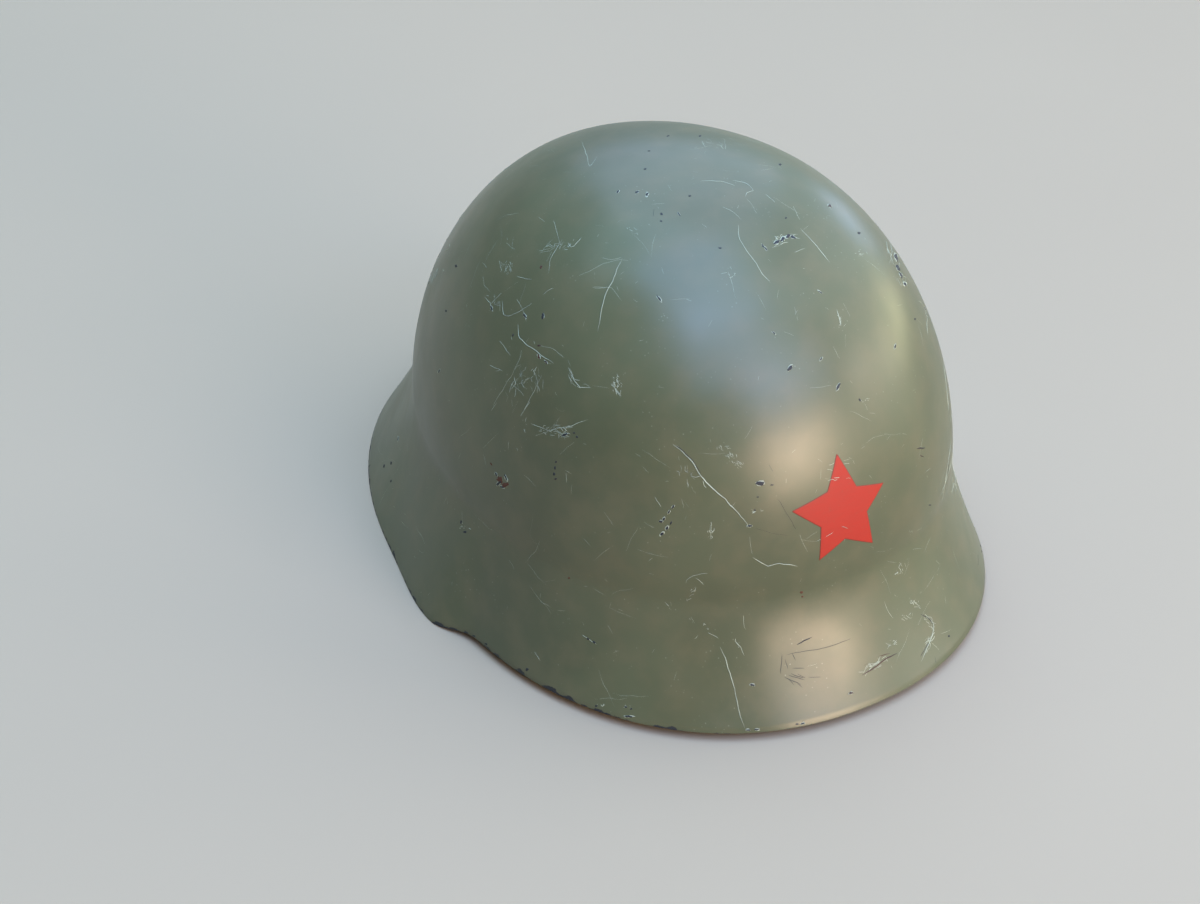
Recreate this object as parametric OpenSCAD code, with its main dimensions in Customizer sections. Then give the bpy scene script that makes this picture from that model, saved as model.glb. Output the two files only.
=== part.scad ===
// Pressed steel combat helmet with an eight-tongue leather liner and a web chin strap.
// The origin is at the middle of the rim's box, on the plane that the rim rests on.
// The front of the helmet faces -Y, the wearer's left is +X, and +Z is up.
// Azimuths are degrees round the dome's axis: 0 is the front, 90 the wearer's left, 180 the back.

/* [Dome] */
// Half the dome's outside width at the waist
dome_half_w = 100; // [94:1:106]
// Dome from its axis to the front at the waist
dome_front = 117; // [112:1:122]
// Dome from its axis to the back at the waist
dome_back = 136; // [130:1:142]
// Height of the crown above the rim
crown_h = 167; // [162:1:174]
// Height of the waist, where the dome ends and the flare starts
waist_h = 50; // [47:1:52]
// How far the crown leans towards the front
crown_lean = 6; // [2:1:10]
// Thickness of the pressed steel
shell_t = 1.2; // [1:0.1:1.6]

/* [Flared rim] */
// How far the rim stands out from the waist at the front
front_flare = 22.5; // [18:0.5:26]
// How far the rim stands out at the temples, ahead of the ears
temple_flare = 12; // [9:0.5:15]
// How far the rim stands out over the ears
ear_flare = 15; // [13:0.5:18]
// Extra bulge at the front corner of the ear skirt
ear_lobe = 4.5; // [3:0.5:6]
// How far the rim stands out at the nape
nape_flare = 30; // [25:0.5:34]
// Azimuth where the ear skirt starts
ear_angle = 80; // [76:1:82]
// Half the arc over which the skirt steps out
ear_blend = 6; // [5:1:8]
// Height of the rim at the front, above the rest of the rim
front_rim_h = 3.5; // [2:0.5:6]

/* [Painted star] */
// Radius of the star's points
star_r = 21; // [17:1:23]
// Radius of the star's inner corners, as a share of the points' radius
star_waist = 0.5; // [0.38:0.02:0.56]
// Height of the star's middle above the rim
star_h = 78; // [74:0.5:82]
// Thickness of the paint film
star_film = 0.3; // [0.2:0.1:0.5]

/* [Liner band] */
// Gap between the shell and the steel liner band
band_gap = 8; // [7:0.5:10]
// Height of the band's lower edge above the rim
band_low = 42; // [40:1:44]
// Width of the steel band
band_w = 20; // [18:1:22]
// Thickness of the steel band
band_t = 1.2; // [1:0.1:1.6]
// Radius of the screws that hold the band
screw_r = 1.9; // [1.6:0.1:2.2]
// Azimuth of the front brackets
front_bracket_a = 45; // [43:1:47]
// Azimuth of the rear brackets
rear_bracket_a = 135; // [133:1:137]
// Half the width of a welded bracket
bracket_half_w = 7; // [5:1:8]
// Half the width of a rubber buffer between band and shell
buffer_half_w = 8; // [6:1:10]

/* [Leather liner] */
// Thickness of the leather
leather_t = 1.6; // [1.2:0.1:2]
// Half the width of the head opening
head_half_w = 78; // [75:0.5:80]
// Head opening from the dome's axis to the front
head_front = 93; // [89:1:96]
// Head opening from the dome's axis to the back
head_back = 108; // [103:1:112]
// Height of the brow band's upper edge above the rim
brow_top = 64; // [61:1:67]
// Radius of the fold at the brow band's lower edge
fold_r = 3.5; // [2.5:0.5:4]
// Height of the tongues' tips above the rim
tongue_top = 138; // [132:1:142]
// Radius of the ring of lace at the crown
lace_ring_r = 21; // [19:1:24]
// Radius of the lace
lace_r = 1.5; // [1.2:0.1:1.8]
// Radius of the rivets that hold the leather
liner_rivet_r = 1.4; // [1.2:0.1:1.6]

/* [Chin strap] */
// Height of the strap's pivots above the rim
pivot_h = 24; // [22:1:26]
// Distance of the pivots behind the dome's axis
pivot_back = 6; // [3:1:8]
// Radius of the pivot rivets
pivot_r = 2.5; // [2:0.1:3]
// Thickness of the welded lugs
lug_t = 1.5; // [1.2:0.1:1.6]
// Thickness of the swinging strap hangers
hanger_t = 1.5; // [1.2:0.1:1.6]
// Width of the webbing
strap_w = 20; // [18:1:21]
// Thickness of the webbing
strap_t = 1.2; // [1:0.1:1.4]
// Distance from the pivots to the far side of the strap's loop
strap_reach = 128; // [122:1:132]
// Radius of the strap's bend under the chin
chin_r = 58; // [52:1:62]
// Distance from the hanger to the buckle along the strap
buckle_at = 40; // [38:1:46]
// Radius of the buckle lever's pin
pin_r = 1; // [0.8:0.1:1.1]

/* [Hidden] */
$fn = 48;

// Exponents of the rounded outlines: 2 is an ellipse, and more is squarer
plan_front_n = 2.2;
plan_back_n = 1.95;
profile_front_n = 2.3;
profile_side_n = 2.55;
profile_back_n = 2.3;
crown_n = 1.85;
lean_n = 1.5;
front_flare_n = 1.45;
side_flare_n = 1.25;

// The ear lobe's place behind the step, and its spread, in degrees
lobe_offset = 8;
lobe_spread = 14;

// The shell's mesh
shell_cols = 72;
dome_rows = 11;
skirt_rows = 6;

// Clearances
seat_gap = 0.45;     // parts seated on the curved shell
slip = 0.1;          // flat parts that touch
head_slip = 0.15;    // flat rivet heads on the curved band
chord_slip = 0.25;   // what the leather's straight facets stand out from the true curve
bore_slip = 0.05;    // shafts in their holes
film_gap = 0.05;     // paint film over the shell's true surface

// Colours
olive = [0.36, 0.38, 0.27];
star_red = [0.84, 0.2, 0.14];
zinc = [0.66, 0.67, 0.66];
dark_steel = [0.3, 0.31, 0.3];
tan_leather = [0.6, 0.42, 0.26];
cotton = [0.86, 0.82, 0.7];
web_green = [0.4, 0.42, 0.3];
black_rubber = [0.12, 0.12, 0.12];
brass = [0.76, 0.62, 0.34];

// The dome's axis, set so that the rim's box is centred on the origin
axis_y = (dome_front + front_flare - dome_back - nape_flare)/2;

// Rounded outlines

function mix(a, b, share) = a + (b - a)*share;

function smooth(t) =
    let(c = max(0, min(1, t)))
    c*c*(3 - 2*c);

function from_front(th) = abs(th > 180 ? th - 360 : th);

// A value that goes from front to side to back round the shell
function round_mix(th, front, side, back) =
    let(c = cos(th))
    mix(side, c >= 0 ? front : back, c*c);

function oval_r(th, half_w, front, back) =
    let(c = cos(th), n = c >= 0 ? plan_front_n : plan_back_n)
    pow(pow(abs(sin(th))/half_w, n) + pow(abs(c)/(c >= 0 ? front : back), n), -1/n);

function dome_r(th, inset = 0) = oval_r(th, dome_half_w - inset, dome_front - inset, dome_back - inset);

function polar(th, r) = [r*sin(th), -r*cos(th)];

// Direction in which an oval faces outwards, as a turn about Z from +X
function facing(th, inset) =
    let(d = polar(th + 1, dome_r(th + 1, inset)) - polar(th - 1, dome_r(th - 1, inset)))
    atan2(-d.x, d.y);

// The pressed shell's surface

function skirt_step(th) = smooth((from_front(th) - ear_angle + ear_blend)/(2*ear_blend));

function flare(th) =
    let(
        d = from_front(th),
        lobe = ear_lobe*exp(-pow((d - ear_angle - lobe_offset)/lobe_spread, 2)),
        ahead = mix(temple_flare, front_flare, pow(cos(th), 2)),
        behind = mix(ear_flare, nape_flare, smooth(d/90 - 1)) + lobe
    )
    mix(ahead, behind, skirt_step(th));

function flare_n(th) = round_mix(th, front_flare_n, side_flare_n, side_flare_n);

function profile_n(th) = round_mix(th, profile_front_n, profile_side_n, profile_back_n);

function rim_z(th) = front_rim_h*(1 - skirt_step(th));

// phi is 0 at the crown and 90 at the waist
function dome_pt(th, phi) =
    let(
        rise = pow(cos(phi), 2/crown_n),
        r = dome_r(th)*pow(sin(phi), 2/profile_n(th))
    )
    [r*sin(th), -r*cos(th) - crown_lean*pow(rise, lean_n), mix(waist_h, crown_h, rise)];

// t is 0 at the waist and 1 at the rim
function skirt_pt(th, t) =
    let(r = dome_r(th) + flare(th)*pow(t, flare_n(th)))
    [r*sin(th), -r*cos(th), mix(waist_h, rim_z(th), t)];

// Rows of the shell run from 1, next to the crown, to the rim
function shell_pt(th, row) =
    row <= dome_rows ? dome_pt(th, 90*row/dome_rows) : skirt_pt(th, (row - dome_rows)/skirt_rows);

function unit(v) = v/norm(v);

function shell_normal(th, row) =
    let(
        last = dome_rows + skirt_rows,
        down = shell_pt(th, min(row + 0.5, last)) - shell_pt(th, row - 0.5),
        along = shell_pt(th + 1, row) - shell_pt(th - 1, row)
    )
    unit(cross(down, along));

// The inside is one thickness in from the outside. On the skirt it keeps each row's height,
// so that the rim's edge is cut level.
function shell_inner_pt(th, row) =
    let(
        p = shell_pt(th, row),
        n = shell_normal(th, row),
        up = unit(shell_pt(th, row - 0.5) - p),
        slide = row > dome_rows ? shell_t*n.z/up.z : 0
    )
    p - shell_t*n + slide*up;

// Horizontal distance from the dome's axis to the shell's inside at height z
function wall_r(th, z) =
    z >= waist_h
        ? let(rise = (z - waist_h)/(crown_h - waist_h))
          dome_r(th)*pow(1 - pow(rise, crown_n), 1/profile_n(th))
              + crown_lean*pow(rise, lean_n)*cos(th) - shell_t
        : let(
              drop = waist_h - rim_z(th),
              t = (waist_h - z)/drop,
              slope = flare(th)*flare_n(th)*pow(t, flare_n(th) - 1)/drop
          )
          dome_r(th) + flare(th)*pow(t, flare_n(th)) - shell_t*sqrt(1 + slope*slope);

function wall_inset(th, z) = dome_r(th) - wall_r(th, z);

// Inset of a seat of the given half width that follows the outline, clear of the shell at height z
function seat_inset(th, half_w, z) =
    let(span = asin(half_w/dome_r(th)))
    seat_gap + max([for (a = [th - span, th, th + span]) wall_inset(a, z)]);

// Distance square through the wall between two insets
function through(th, outer, inner) =
    (dome_r(th, outer) - dome_r(th, inner))*cos(facing(th, outer) - th + 90);

// Solids made from rows of points

function flat_list(rows) = [for (row = rows) for (p = row) p];

function quad(a, b, c, d) = [[a, b, c], [a, c, d]];

// A closed skin of two domed sheets that meet along their last rows. Each sheet is
// [pole point, rows of points], and the first is the outer one.
module domed_skin(outer, inner) {
    rows = len(outer[1]);
    cols = len(outer[1][0]);
    side = 1 + rows*cols;
    function at(sheet, row, col) = sheet*side + 1 + row*cols + col%cols;
    faces = [
        for (c = [0 : cols - 1]) each concat(
            [[0, at(0, 0, c + 1), at(0, 0, c)], [side, at(1, 0, c), at(1, 0, c + 1)]],
            [for (r = [0 : rows - 2])
                each quad(at(0, r, c), at(0, r, c + 1), at(0, r + 1, c + 1), at(0, r + 1, c))],
            [for (r = [0 : rows - 2])
                each quad(at(1, r, c), at(1, r + 1, c), at(1, r + 1, c + 1), at(1, r, c + 1))],
            quad(at(0, rows - 1, c), at(0, rows - 1, c + 1), at(1, rows - 1, c + 1), at(1, rows - 1, c))
        )
    ];
    polyhedron(
        concat([outer[0]], flat_list(outer[1]), [inner[0]], flat_list(inner[1])),
        faces
    );
}

// A sheet of leather lofted through loops. Each loop is a flat cross-section: its first half
// runs along one face and its second half comes back along the other.
module loft(loops, closed = false) {
    n = len(loops[0]);
    count = len(loops);
    function at(loop, i) = (loop%count)*n + i%n;
    walls = [
        for (k = [0 : closed ? count - 1 : count - 2]) for (i = [0 : n - 1])
            each quad(at(k, i), at(k, i + 1), at(k + 1, i + 1), at(k + 1, i))
    ];
    caps = closed ? [] : [
        for (i = [0 : n/2 - 2]) each concat(
            quad(at(0, i + 1), at(0, i), at(0, n - 1 - i), at(0, n - 2 - i)),
            quad(at(count - 1, i), at(count - 1, i + 1), at(count - 1, n - 2 - i), at(count - 1, n - 1 - i))
        )
    ];
    polyhedron(flat_list(loops), concat(walls, caps));
}

// A plate that follows the dome's outline between two insets
module arc_plate(th, half_w, inset_out, inset_in, z, h, steps = 8) {
    span = asin(half_w/dome_r(th));
    turns = [for (i = [0 : steps]) th + span*(2*i/steps - 1)];
    translate([0, 0, z])
        linear_extrude(h)
            polygon(concat(
                [for (a = turns) polar(a, dome_r(a, inset_out))],
                [for (i = [steps : -1 : 0]) polar(turns[i], dome_r(turns[i], inset_in))]
            ));
}

// Puts its children on the dome's outline with +X outwards
module on_outline(th, inset, z)
    translate(concat(polar(th, dome_r(th, inset)), z))
        rotate(facing(th, inset))
            children();

// A cylinder along +X
module rod_x(r, from, to)
    translate([from, 0, 0])
        rotate([0, 90, 0])
            cylinder(r = r, h = to - from);

module in_place()
    translate([0, axis_y, 0])
        children();

module mirrored(side)
    mirror([side < 0 ? 1 : 0, 0, 0])
        children();

// The shell and its star

module shell() {
    turns = [for (c = [0 : shell_cols - 1]) 360*c/shell_cols];
    rows = [1 : dome_rows + skirt_rows];
    crown = [0, -crown_lean, crown_h];
    color(olive)
        in_place()
            domed_skin(
                [crown, [for (row = rows) [for (th = turns) shell_pt(th, row)]]],
                [crown - [0, 0, shell_t], [for (row = rows) [for (th = turns) shell_inner_pt(th, row)]]]
            );
}

star_turns = 40;
star_rings = 4;

// The dome's outside at height z and distance x from the middle plane, found in a few steps
function front_pt(x, z, th = 0, steps = 5) =
    let(
        rise = (z - waist_h)/(crown_h - waist_h),
        r = dome_r(th)*pow(1 - pow(rise, crown_n), 1/profile_n(th))
    )
    steps == 0
        ? [r*sin(th), -r*cos(th) - crown_lean*pow(rise, lean_n), z]
        : front_pt(x, z, asin(x/r), steps - 1);

// A point of the star at distance s to the left and t up along the dome, raised by lift
function star_pt(s, t, lift) =
    let(
        step = 1,
        low = front_pt(0, star_h),
        climb = unit(front_pt(0, star_h + step) - low),
        p = front_pt(s, star_h + t*climb.z),
        across = front_pt(s + step, p.z) - p,
        up = front_pt(s, p.z + step) - p
    )
    p + lift*unit(cross(across, up));

function star_edge(a) =
    let(
        half = 36,
        turn = abs(((a + half)%(2*half)) - half),
        tip = star_r,
        notch = star_r*star_waist*[sin(half), cos(half)],
        k = tan(turn)
    )
    // Distance from the middle to the straight edge from a point to a notch
    tip*notch.x/(notch.x*cos(turn) + (tip - notch.y)*sin(turn));

module painted_star() {
    turns = [for (i = [0 : star_turns - 1]) 360*i/star_turns];
    function sheet(lift) = [
        star_pt(0, 0, lift),
        [for (k = [1 : star_rings]) [for (a = turns)
            let(r = star_edge(a)*k/star_rings)
            star_pt(r*sin(a), r*cos(a), lift)]]
    ];
    color(star_red)
        in_place()
            domed_skin(sheet(film_gap + star_film), sheet(film_gap));
}

// The steel liner band and what holds it

band_out = shell_t + band_gap;
band_in = band_out + band_t;
band_top = band_low + band_w;
screw_z = band_low + 0.65*band_w;
rivet_z = band_low + 0.25*band_w;
bracket_h = 12;
bracket_t = 1.5;
boss_wall = 2.1;
boss_r = screw_r + boss_wall;
screw_head_rim = 1.6;
screw_head_r = screw_r + screw_head_rim;
screw_head_h = 2;
driver_slot_w = 1;
driver_slot_deep = 0.8;
rivet_head_h = 0.8;
splice_head_rim = 1.4;

// The lap of the band's ends lies midway between a rear bracket and the rear buffer
splice_a = (rear_bracket_a + 180)/2;
splice_half_w = 8;
splice_lift = 1.5;
splice_z = screw_z + splice_lift;
splice_spread = 2.5;
splice_turns = [splice_a - splice_spread, splice_a + splice_spread];
band_steps = 120;
liner_rivets_n = 16;

module band_ring(inset)
    polygon([for (i = [0 : band_steps - 1])
        let(th = 360*i/band_steps)
        polar(th, dome_r(th, inset))]);

bracket_turns = [for (side = [-1, 1]) for (a = [front_bracket_a, rear_bracket_a]) side*a];
rivet_turns = [for (i = [0 : liner_rivets_n - 1]) 360*(i + 0.5)/liner_rivets_n];

module liner_band()
    color(zinc)
        in_place()
            difference() {
                union() {
                    translate([0, 0, band_low])
                        linear_extrude(band_w)
                            difference() {
                                band_ring(band_out);
                                band_ring(band_in);
                            }
                    // The band's end laps over outside and is riveted
                    arc_plate(splice_a, splice_half_w, band_out - band_t, band_out + slip, band_low, band_w);
                }
                for (th = bracket_turns)
                    on_outline(th, band_out, screw_z)
                        rod_x(screw_r + 2*bore_slip, -2*band_t, band_t);
                for (th = rivet_turns)
                    on_outline(th, band_out, rivet_z)
                        rod_x(liner_rivet_r + bore_slip, -2*band_t, band_t);
                for (th = splice_turns)
                    on_outline(th, band_out, splice_z)
                        rod_x(liner_rivet_r + bore_slip, -2*band_t, 2*band_t);
            }

module bracket(th) {
    plate_z = screw_z - bracket_h/2;
    plate_out = seat_inset(th, bracket_half_w, plate_z + bracket_h);
    color(dark_steel)
        in_place()
            difference() {
                union() {
                    arc_plate(th, bracket_half_w, plate_out, plate_out + bracket_t, plate_z, bracket_h);
                    on_outline(th, band_out, screw_z)
                        rod_x(boss_r, slip, band_out - plate_out - bracket_t/2);
                }
                on_outline(th, band_out, screw_z)
                    rod_x(screw_r + bore_slip, -1, band_out);
            }
}

module band_screws()
    color(zinc)
        in_place()
            for (th = bracket_turns) {
                under_head = -through(th, band_out, band_in) - head_slip;
                on_outline(th, band_out, screw_z) {
                    rod_x(screw_r, under_head, band_gap - 2*seat_gap);
                    difference() {
                        rod_x(screw_head_r, under_head - screw_head_h, under_head);
                        // Driver slot
                        translate([under_head - screw_head_h - slip, -screw_head_r, -driver_slot_w/2])
                            cube([driver_slot_deep + slip, 2*screw_head_r, driver_slot_w]);
                    }
                }
            }

// A rivet along +X with a head at each end
module rivet(r, from, to, head_from_r, head_to_r, head_h = rivet_head_h) {
    rod_x(r, from, to);
    rod_x(head_from_r, from - head_h, from);
    rod_x(head_to_r, to, to + head_h);
}

module band_splice_rivets()
    color(zinc)
        in_place()
            for (th = splice_turns)
                on_outline(th, band_out, splice_z)
                    rivet(
                        liner_rivet_r,
                        -through(th, band_out, band_in) - head_slip,
                        through(th, band_out - band_t, band_out) + slip,
                        liner_rivet_r + splice_head_rim, liner_rivet_r + splice_head_rim
                    );

buffer_h = 12;
buffer_below_top = 1;
buffer_low = band_top - buffer_h - buffer_below_top;

// Rubber block between the band and the shell
module buffer(th)
    color(black_rubber)
        in_place()
            arc_plate(
                th, buffer_half_w,
                seat_inset(th, buffer_half_w, buffer_low + buffer_h), band_out - slip,
                buffer_low, buffer_h
            );

// The leather liner

brow_cols = 60;
flap_clear = 1;
flap_top = screw_z - screw_head_r - flap_clear;
fold_below_band = 2;
fold_z = band_low - fold_below_band;
flap_inset = band_in + slip + leather_t/2;
fold_steps = 5;
inner_head_rim = 1.6;
outer_head_rim = 1.1;

function head_r(th) = oval_r(th, head_half_w, head_front, head_back);

// Distance from the axis and height along the brow band's middle, at azimuth th: the flap
// riveted to the band, the fold under it, and the face that leans in to the head
function brow_line(th) =
    let(
        flap = dome_r(th, flap_inset),
        face = dome_r(th, flap_inset + 2*fold_r)
    )
    concat(
        [[flap, flap_top]],
        [for (i = [0 : fold_steps])
            let(a = 180*i/fold_steps)
            [dome_r(th, flap_inset + fold_r*(1 - cos(a))), fold_z - fold_r*sin(a)]],
        [for (s = [0.35, 0.7, 1])
            [mix(face, head_r(th), smooth(s)), mix(fold_z, brow_top, s)]]
    );

// A cross-section of thickness t round a line of [distance, height] points
function thick_section(line, t) =
    let(
        last = len(line) - 1,
        n = [for (i = [0 : last])
            let(d = unit(line[min(i + 1, last)] - line[max(i - 1, 0)]))
            [d.y, -d.x]*t/2]
    )
    concat([for (i = [0 : last]) line[i] + n[i]], [for (i = [last : -1 : 0]) line[i] - n[i]]);

function stand(th, section) = [for (p = section) concat(polar(th, p.x), p.y)];

module brow_band()
    color(tan_leather)
        in_place()
            difference() {
                loft([for (i = [0 : brow_cols - 1])
                    let(th = 360*i/brow_cols)
                    stand(th, thick_section(brow_line(th), leather_t))], closed = true);
                for (th = rivet_turns)
                    on_outline(th, band_out, rivet_z)
                        rod_x(liner_rivet_r + bore_slip, -flap_inset - leather_t, band_t);
            }

module liner_rivets()
    color(brass)
        in_place()
            for (th = rivet_turns)
                on_outline(th, band_out, rivet_z)
                    rivet(
                        liner_rivet_r,
                        -through(th, band_out, flap_inset + leather_t/2) - head_slip - chord_slip, slip,
                        liner_rivet_r + inner_head_rim, liner_rivet_r + outer_head_rim
                    );

tongues_n = 8;
tongue_rows = 9;
hem_rows = 7;
hem_turn = 250;
tongue_cols = 3;
tongue_lap = 7;
tongue_low = brow_top - tongue_lap;
hem_slack = 0.3;
hem_r = lace_r + hem_slack + leather_t/2;
base_half_a = 21.3;
tip_half_a = 15;
waist_in_a = 3;
sewn_gap = 0.3;

// Distance from the axis and height along a tongue's middle. s is 0 at its sewn edge and 1 at
// its tip, and from 1 to 2 the tongue curls down round the lace.
function tongue_line(th, s) =
    let(base = head_r(th) - leather_t - sewn_gap)
    s <= 1
        ? [mix(lace_ring_r, base, cos(90*s)), mix(tongue_low, tongue_top, sin(90*s))]
        : let(a = 90 + hem_turn*(s - 1))
          [lace_ring_r + hem_r*cos(a), tongue_top - hem_r + hem_r*sin(a)];

function tongue_half_a(s) =
    s <= 1 ? mix(base_half_a, tip_half_a, s) - waist_in_a*sin(180*s) : tip_half_a;

function tongue_section(mid, s) =
    let(
        ds = 0.02,
        face = [for (j = [-tongue_cols : tongue_cols])
            let(
                th = mid + tongue_half_a(s)*j/tongue_cols,
                p = tongue_line(th, s),
                d = unit(tongue_line(th, min(2, s + ds)) - tongue_line(th, max(0, s - ds))),
                half = [d.y, -d.x]*leather_t/2
            )
            [th, p + half, p - half]],
        last = len(face) - 1
    )
    concat(
        [for (j = [0 : last]) concat(polar(face[j][0], face[j][1].x), face[j][1].y)],
        [for (j = [last : -1 : 0]) concat(polar(face[j][0], face[j][2].x), face[j][2].y)]
    );

// A leather tongue with a hem at its tip for the lace
module tongue(k) {
    mid = 360*(k - 0.5)/tongues_n;
    color(tan_leather)
        in_place()
            loft([
                for (i = [0 : tongue_rows]) tongue_section(mid, i/tongue_rows),
                for (i = [1 : hem_rows]) tongue_section(mid, 1 + i/hem_rows)
            ]);
}

knot_r = 2.4;
knot_sink = 1;
tail_sink = 2;
tail_r = lace_r - 0.2;
tail_bend = 9;
tail_turn = 100;

// The lace runs through the tongues' hems and is knotted at the back
module crown_lace()
    color(cotton)
        in_place()
            translate([0, 0, tongue_top - hem_r]) {
                rotate_extrude()
                    translate([lace_ring_r, 0])
                        circle(lace_r);
                translate([0, lace_ring_r - knot_sink, 0])
                    sphere(knot_r);
                for (side = [0, 1])
                    mirror([side, 0, 0])
                        translate([tail_bend, lace_ring_r - tail_sink, 0])
                            rotate(180)
                                rotate_extrude(angle = tail_turn)
                                    translate([tail_bend, 0])
                                        circle(tail_r);
            }

// The chin strap's lugs, pivots and hangers

lug_half_w = 8;
lug_clear = 4;
lug_top = buffer_low - lug_clear;
lug_weld_h = 8;
lug_bend = lug_top - lug_weld_h;
washer_gap = 0.2;
pivot_head_rim = 1.7;
pivot_head_r = pivot_r + pivot_head_rim;
pivot_head_h = 1.3;

// Half the width between the shell's inside faces at height z, at distance y behind the dome's axis
function side_x(y, z) =
    let(r = wall_r(90 + asin(y/dome_half_w), z))
    sqrt(r*r - y*y);

// Where a flat lug lies against the shell at height z
function lug_seat_x(z) =
    min([for (side = [-1, 1]) side_x(pivot_back + side*lug_half_w, z)]) - seat_gap;

lug_out = lug_seat_x(lug_bend);
lug_in = lug_out - lug_t;
hanger_out = lug_in - washer_gap;
hanger_in = hanger_out - hanger_t;
strap_x = (hanger_out + hanger_in)/2;

module at_pivot(side)
    in_place()
        mirrored(side)
            translate([0, pivot_back, pivot_h])
                children();

// A tongue with a round end for the pivot, bent at its top to lie on the shell
module strap_lug(side) {
    bend = lug_bend - pivot_h;
    top = lug_top - pivot_h;
    middle = (bend + top)/2;
    color(dark_steel)
        at_pivot(side)
            difference() {
                union() {
                    rod_x(lug_half_w, lug_in, lug_out);
                    translate([lug_in, -lug_half_w, 0])
                        cube([lug_t, 2*lug_half_w, bend]);
                    translate([0, lug_half_w, 0])
                        rotate([90, 0, 0])
                            linear_extrude(2*lug_half_w)
                                polygon([
                                    [lug_out, bend],
                                    for (z = [middle, top]) [lug_seat_x(z + pivot_h), z],
                                    for (z = [top, middle]) [lug_seat_x(z + pivot_h) - lug_t, z],
                                    [lug_in, bend]
                                ]);
                }
                rod_x(pivot_r + bore_slip, lug_in - 1, lug_out + 1);
            }
}

module pivot_rivet(side)
    color(zinc)
        at_pivot(side)
            rivet(
                pivot_r, hanger_in - washer_gap, lug_out + slip,
                pivot_head_r, pivot_head_r, pivot_head_h
            );

// The strap assembly is drawn flat, with the pivots on its X axis, and then droops to the rear
// until the loop's lower edge is just above the plane that the rim rests on
floor_gap = 0.6;
droop = asin((pivot_h - strap_w/2 - floor_gap)/strap_reach);

bar_y = 16;
bar_w = 2;
slot_w = 4;
slot_slack = 0.6;
slot_half_h = strap_w/2 + slot_slack;
hanger_side_w = 2.4;
bar_half_h = slot_half_h + hanger_side_w;
hanger_shoulder = 1;
hanger_eye_r = 7;
eye_in = 1.5;
eye_out = eye_in + strap_t;

module strap_frame()
    in_place()
        translate([0, pivot_back, pivot_h])
            rotate([-droop, 0, 0])
                children();

module strap_hanger(side) {
    slot_y = bar_y - bar_w/2 - slot_w;
    color(dark_steel)
        strap_frame()
            mirrored(side)
                difference() {
                    translate([hanger_in, 0, 0])
                        rotate([90, 0, 90])
                            linear_extrude(hanger_t)
                                difference() {
                                    union() {
                                        circle(hanger_eye_r);
                                        polygon([
                                            [0, -hanger_eye_r], [slot_y - hanger_shoulder, -bar_half_h],
                                            [bar_y + bar_w/2, -bar_half_h], [bar_y + bar_w/2, bar_half_h],
                                            [slot_y - hanger_shoulder, bar_half_h], [0, hanger_eye_r]
                                        ]);
                                    }
                                    translate([slot_y, -slot_half_h])
                                        square([slot_w, 2*slot_half_h]);
                                }
                    rod_x(pivot_r + bore_slip, hanger_in - 1, hanger_out + 1);
                }
}

// The webbing

arc_y = strap_reach - chin_r;
lay = eye_out + slip + strap_t/2;
bar = [strap_x, bar_y];

// Azimuth on a circle round the chin bend's middle at which a line from the hanger's bar touches it
function touch_a(r) =
    let(d = bar - [0, arc_y])
    atan2(d.y, d.x) + acos(r/norm(d));

left_a = touch_a(chin_r + lay);
right_a = touch_a(chin_r);

// The left run: its origin is the hanger's bar, +X faces out and +Y runs along the strap
module left_run()
    strap_frame()
        translate([bar.x, bar.y, 0])
            rotate(left_a)
                children();

module ribbon(width = strap_w)
    translate([0, 0, -width/2])
        linear_extrude(width)
            children();

// A sewn loop round a bar at the origin, running on along +Y
merge = 3*eye_out;
right_sewn = 26;

module strap_eye(sewn) {
    difference() {
        union() {
            circle(eye_out);
            polygon([[-eye_out, 0], [eye_out, 0], [strap_t, merge], [-strap_t, merge]]);
            translate([-strap_t, merge - slip])
                square([2*strap_t, sewn - merge]);
        }
        circle(eye_in);
        polygon([[-eye_in, 0], [eye_in, 0], [0, merge - strap_t]]);
    }
}

module short_strap()
    color(web_green)
        left_run()
            ribbon() {
                strap_eye(buckle_at/2 + slip);
                translate([0, buckle_at])
                    rotate(180)
                        strap_eye(buckle_at/2 + slip);
            }

tail_at = 10;
chin_steps = 28;

function turned(p, a) = [p.x*cos(a) - p.y*sin(a), p.x*sin(a) + p.y*cos(a)];

// The long strap's middle line: its free end beside the short strap, the run through the
// buckle, the bend under the chin, and the run to the right hanger
long_line = concat(
    [bar + turned([-lay, tail_at], left_a)],
    [for (i = [0 : chin_steps])
        let(a = mix(left_a, 180 - right_a, i/chin_steps))
        [chin_r*cos(a), arc_y + chin_r*sin(a)]],
    [[-bar.x, bar.y] + turned([0, merge - strap_t], -right_a)]
);

function line_side(line, off) =
    let(last = len(line) - 1)
    [for (i = [0 : last])
        let(d = unit(line[min(i + 1, last)] - line[max(i - 1, 0)]))
        line[i] + off*[d.y, -d.x]];

module stroke(line, t)
    polygon(concat(
        line_side(line, t/2),
        [for (i = [len(line) - 1 : -1 : 0]) line_side(line, -t/2)[i]]
    ));

module long_strap()
    color(web_green)
        strap_frame()
            ribbon() {
                stroke(long_line, strap_t);
                translate([-bar.x, bar.y])
                    rotate(-right_a)
                        strap_eye(right_sewn);
            }

// The buckle, on the left run

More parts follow.
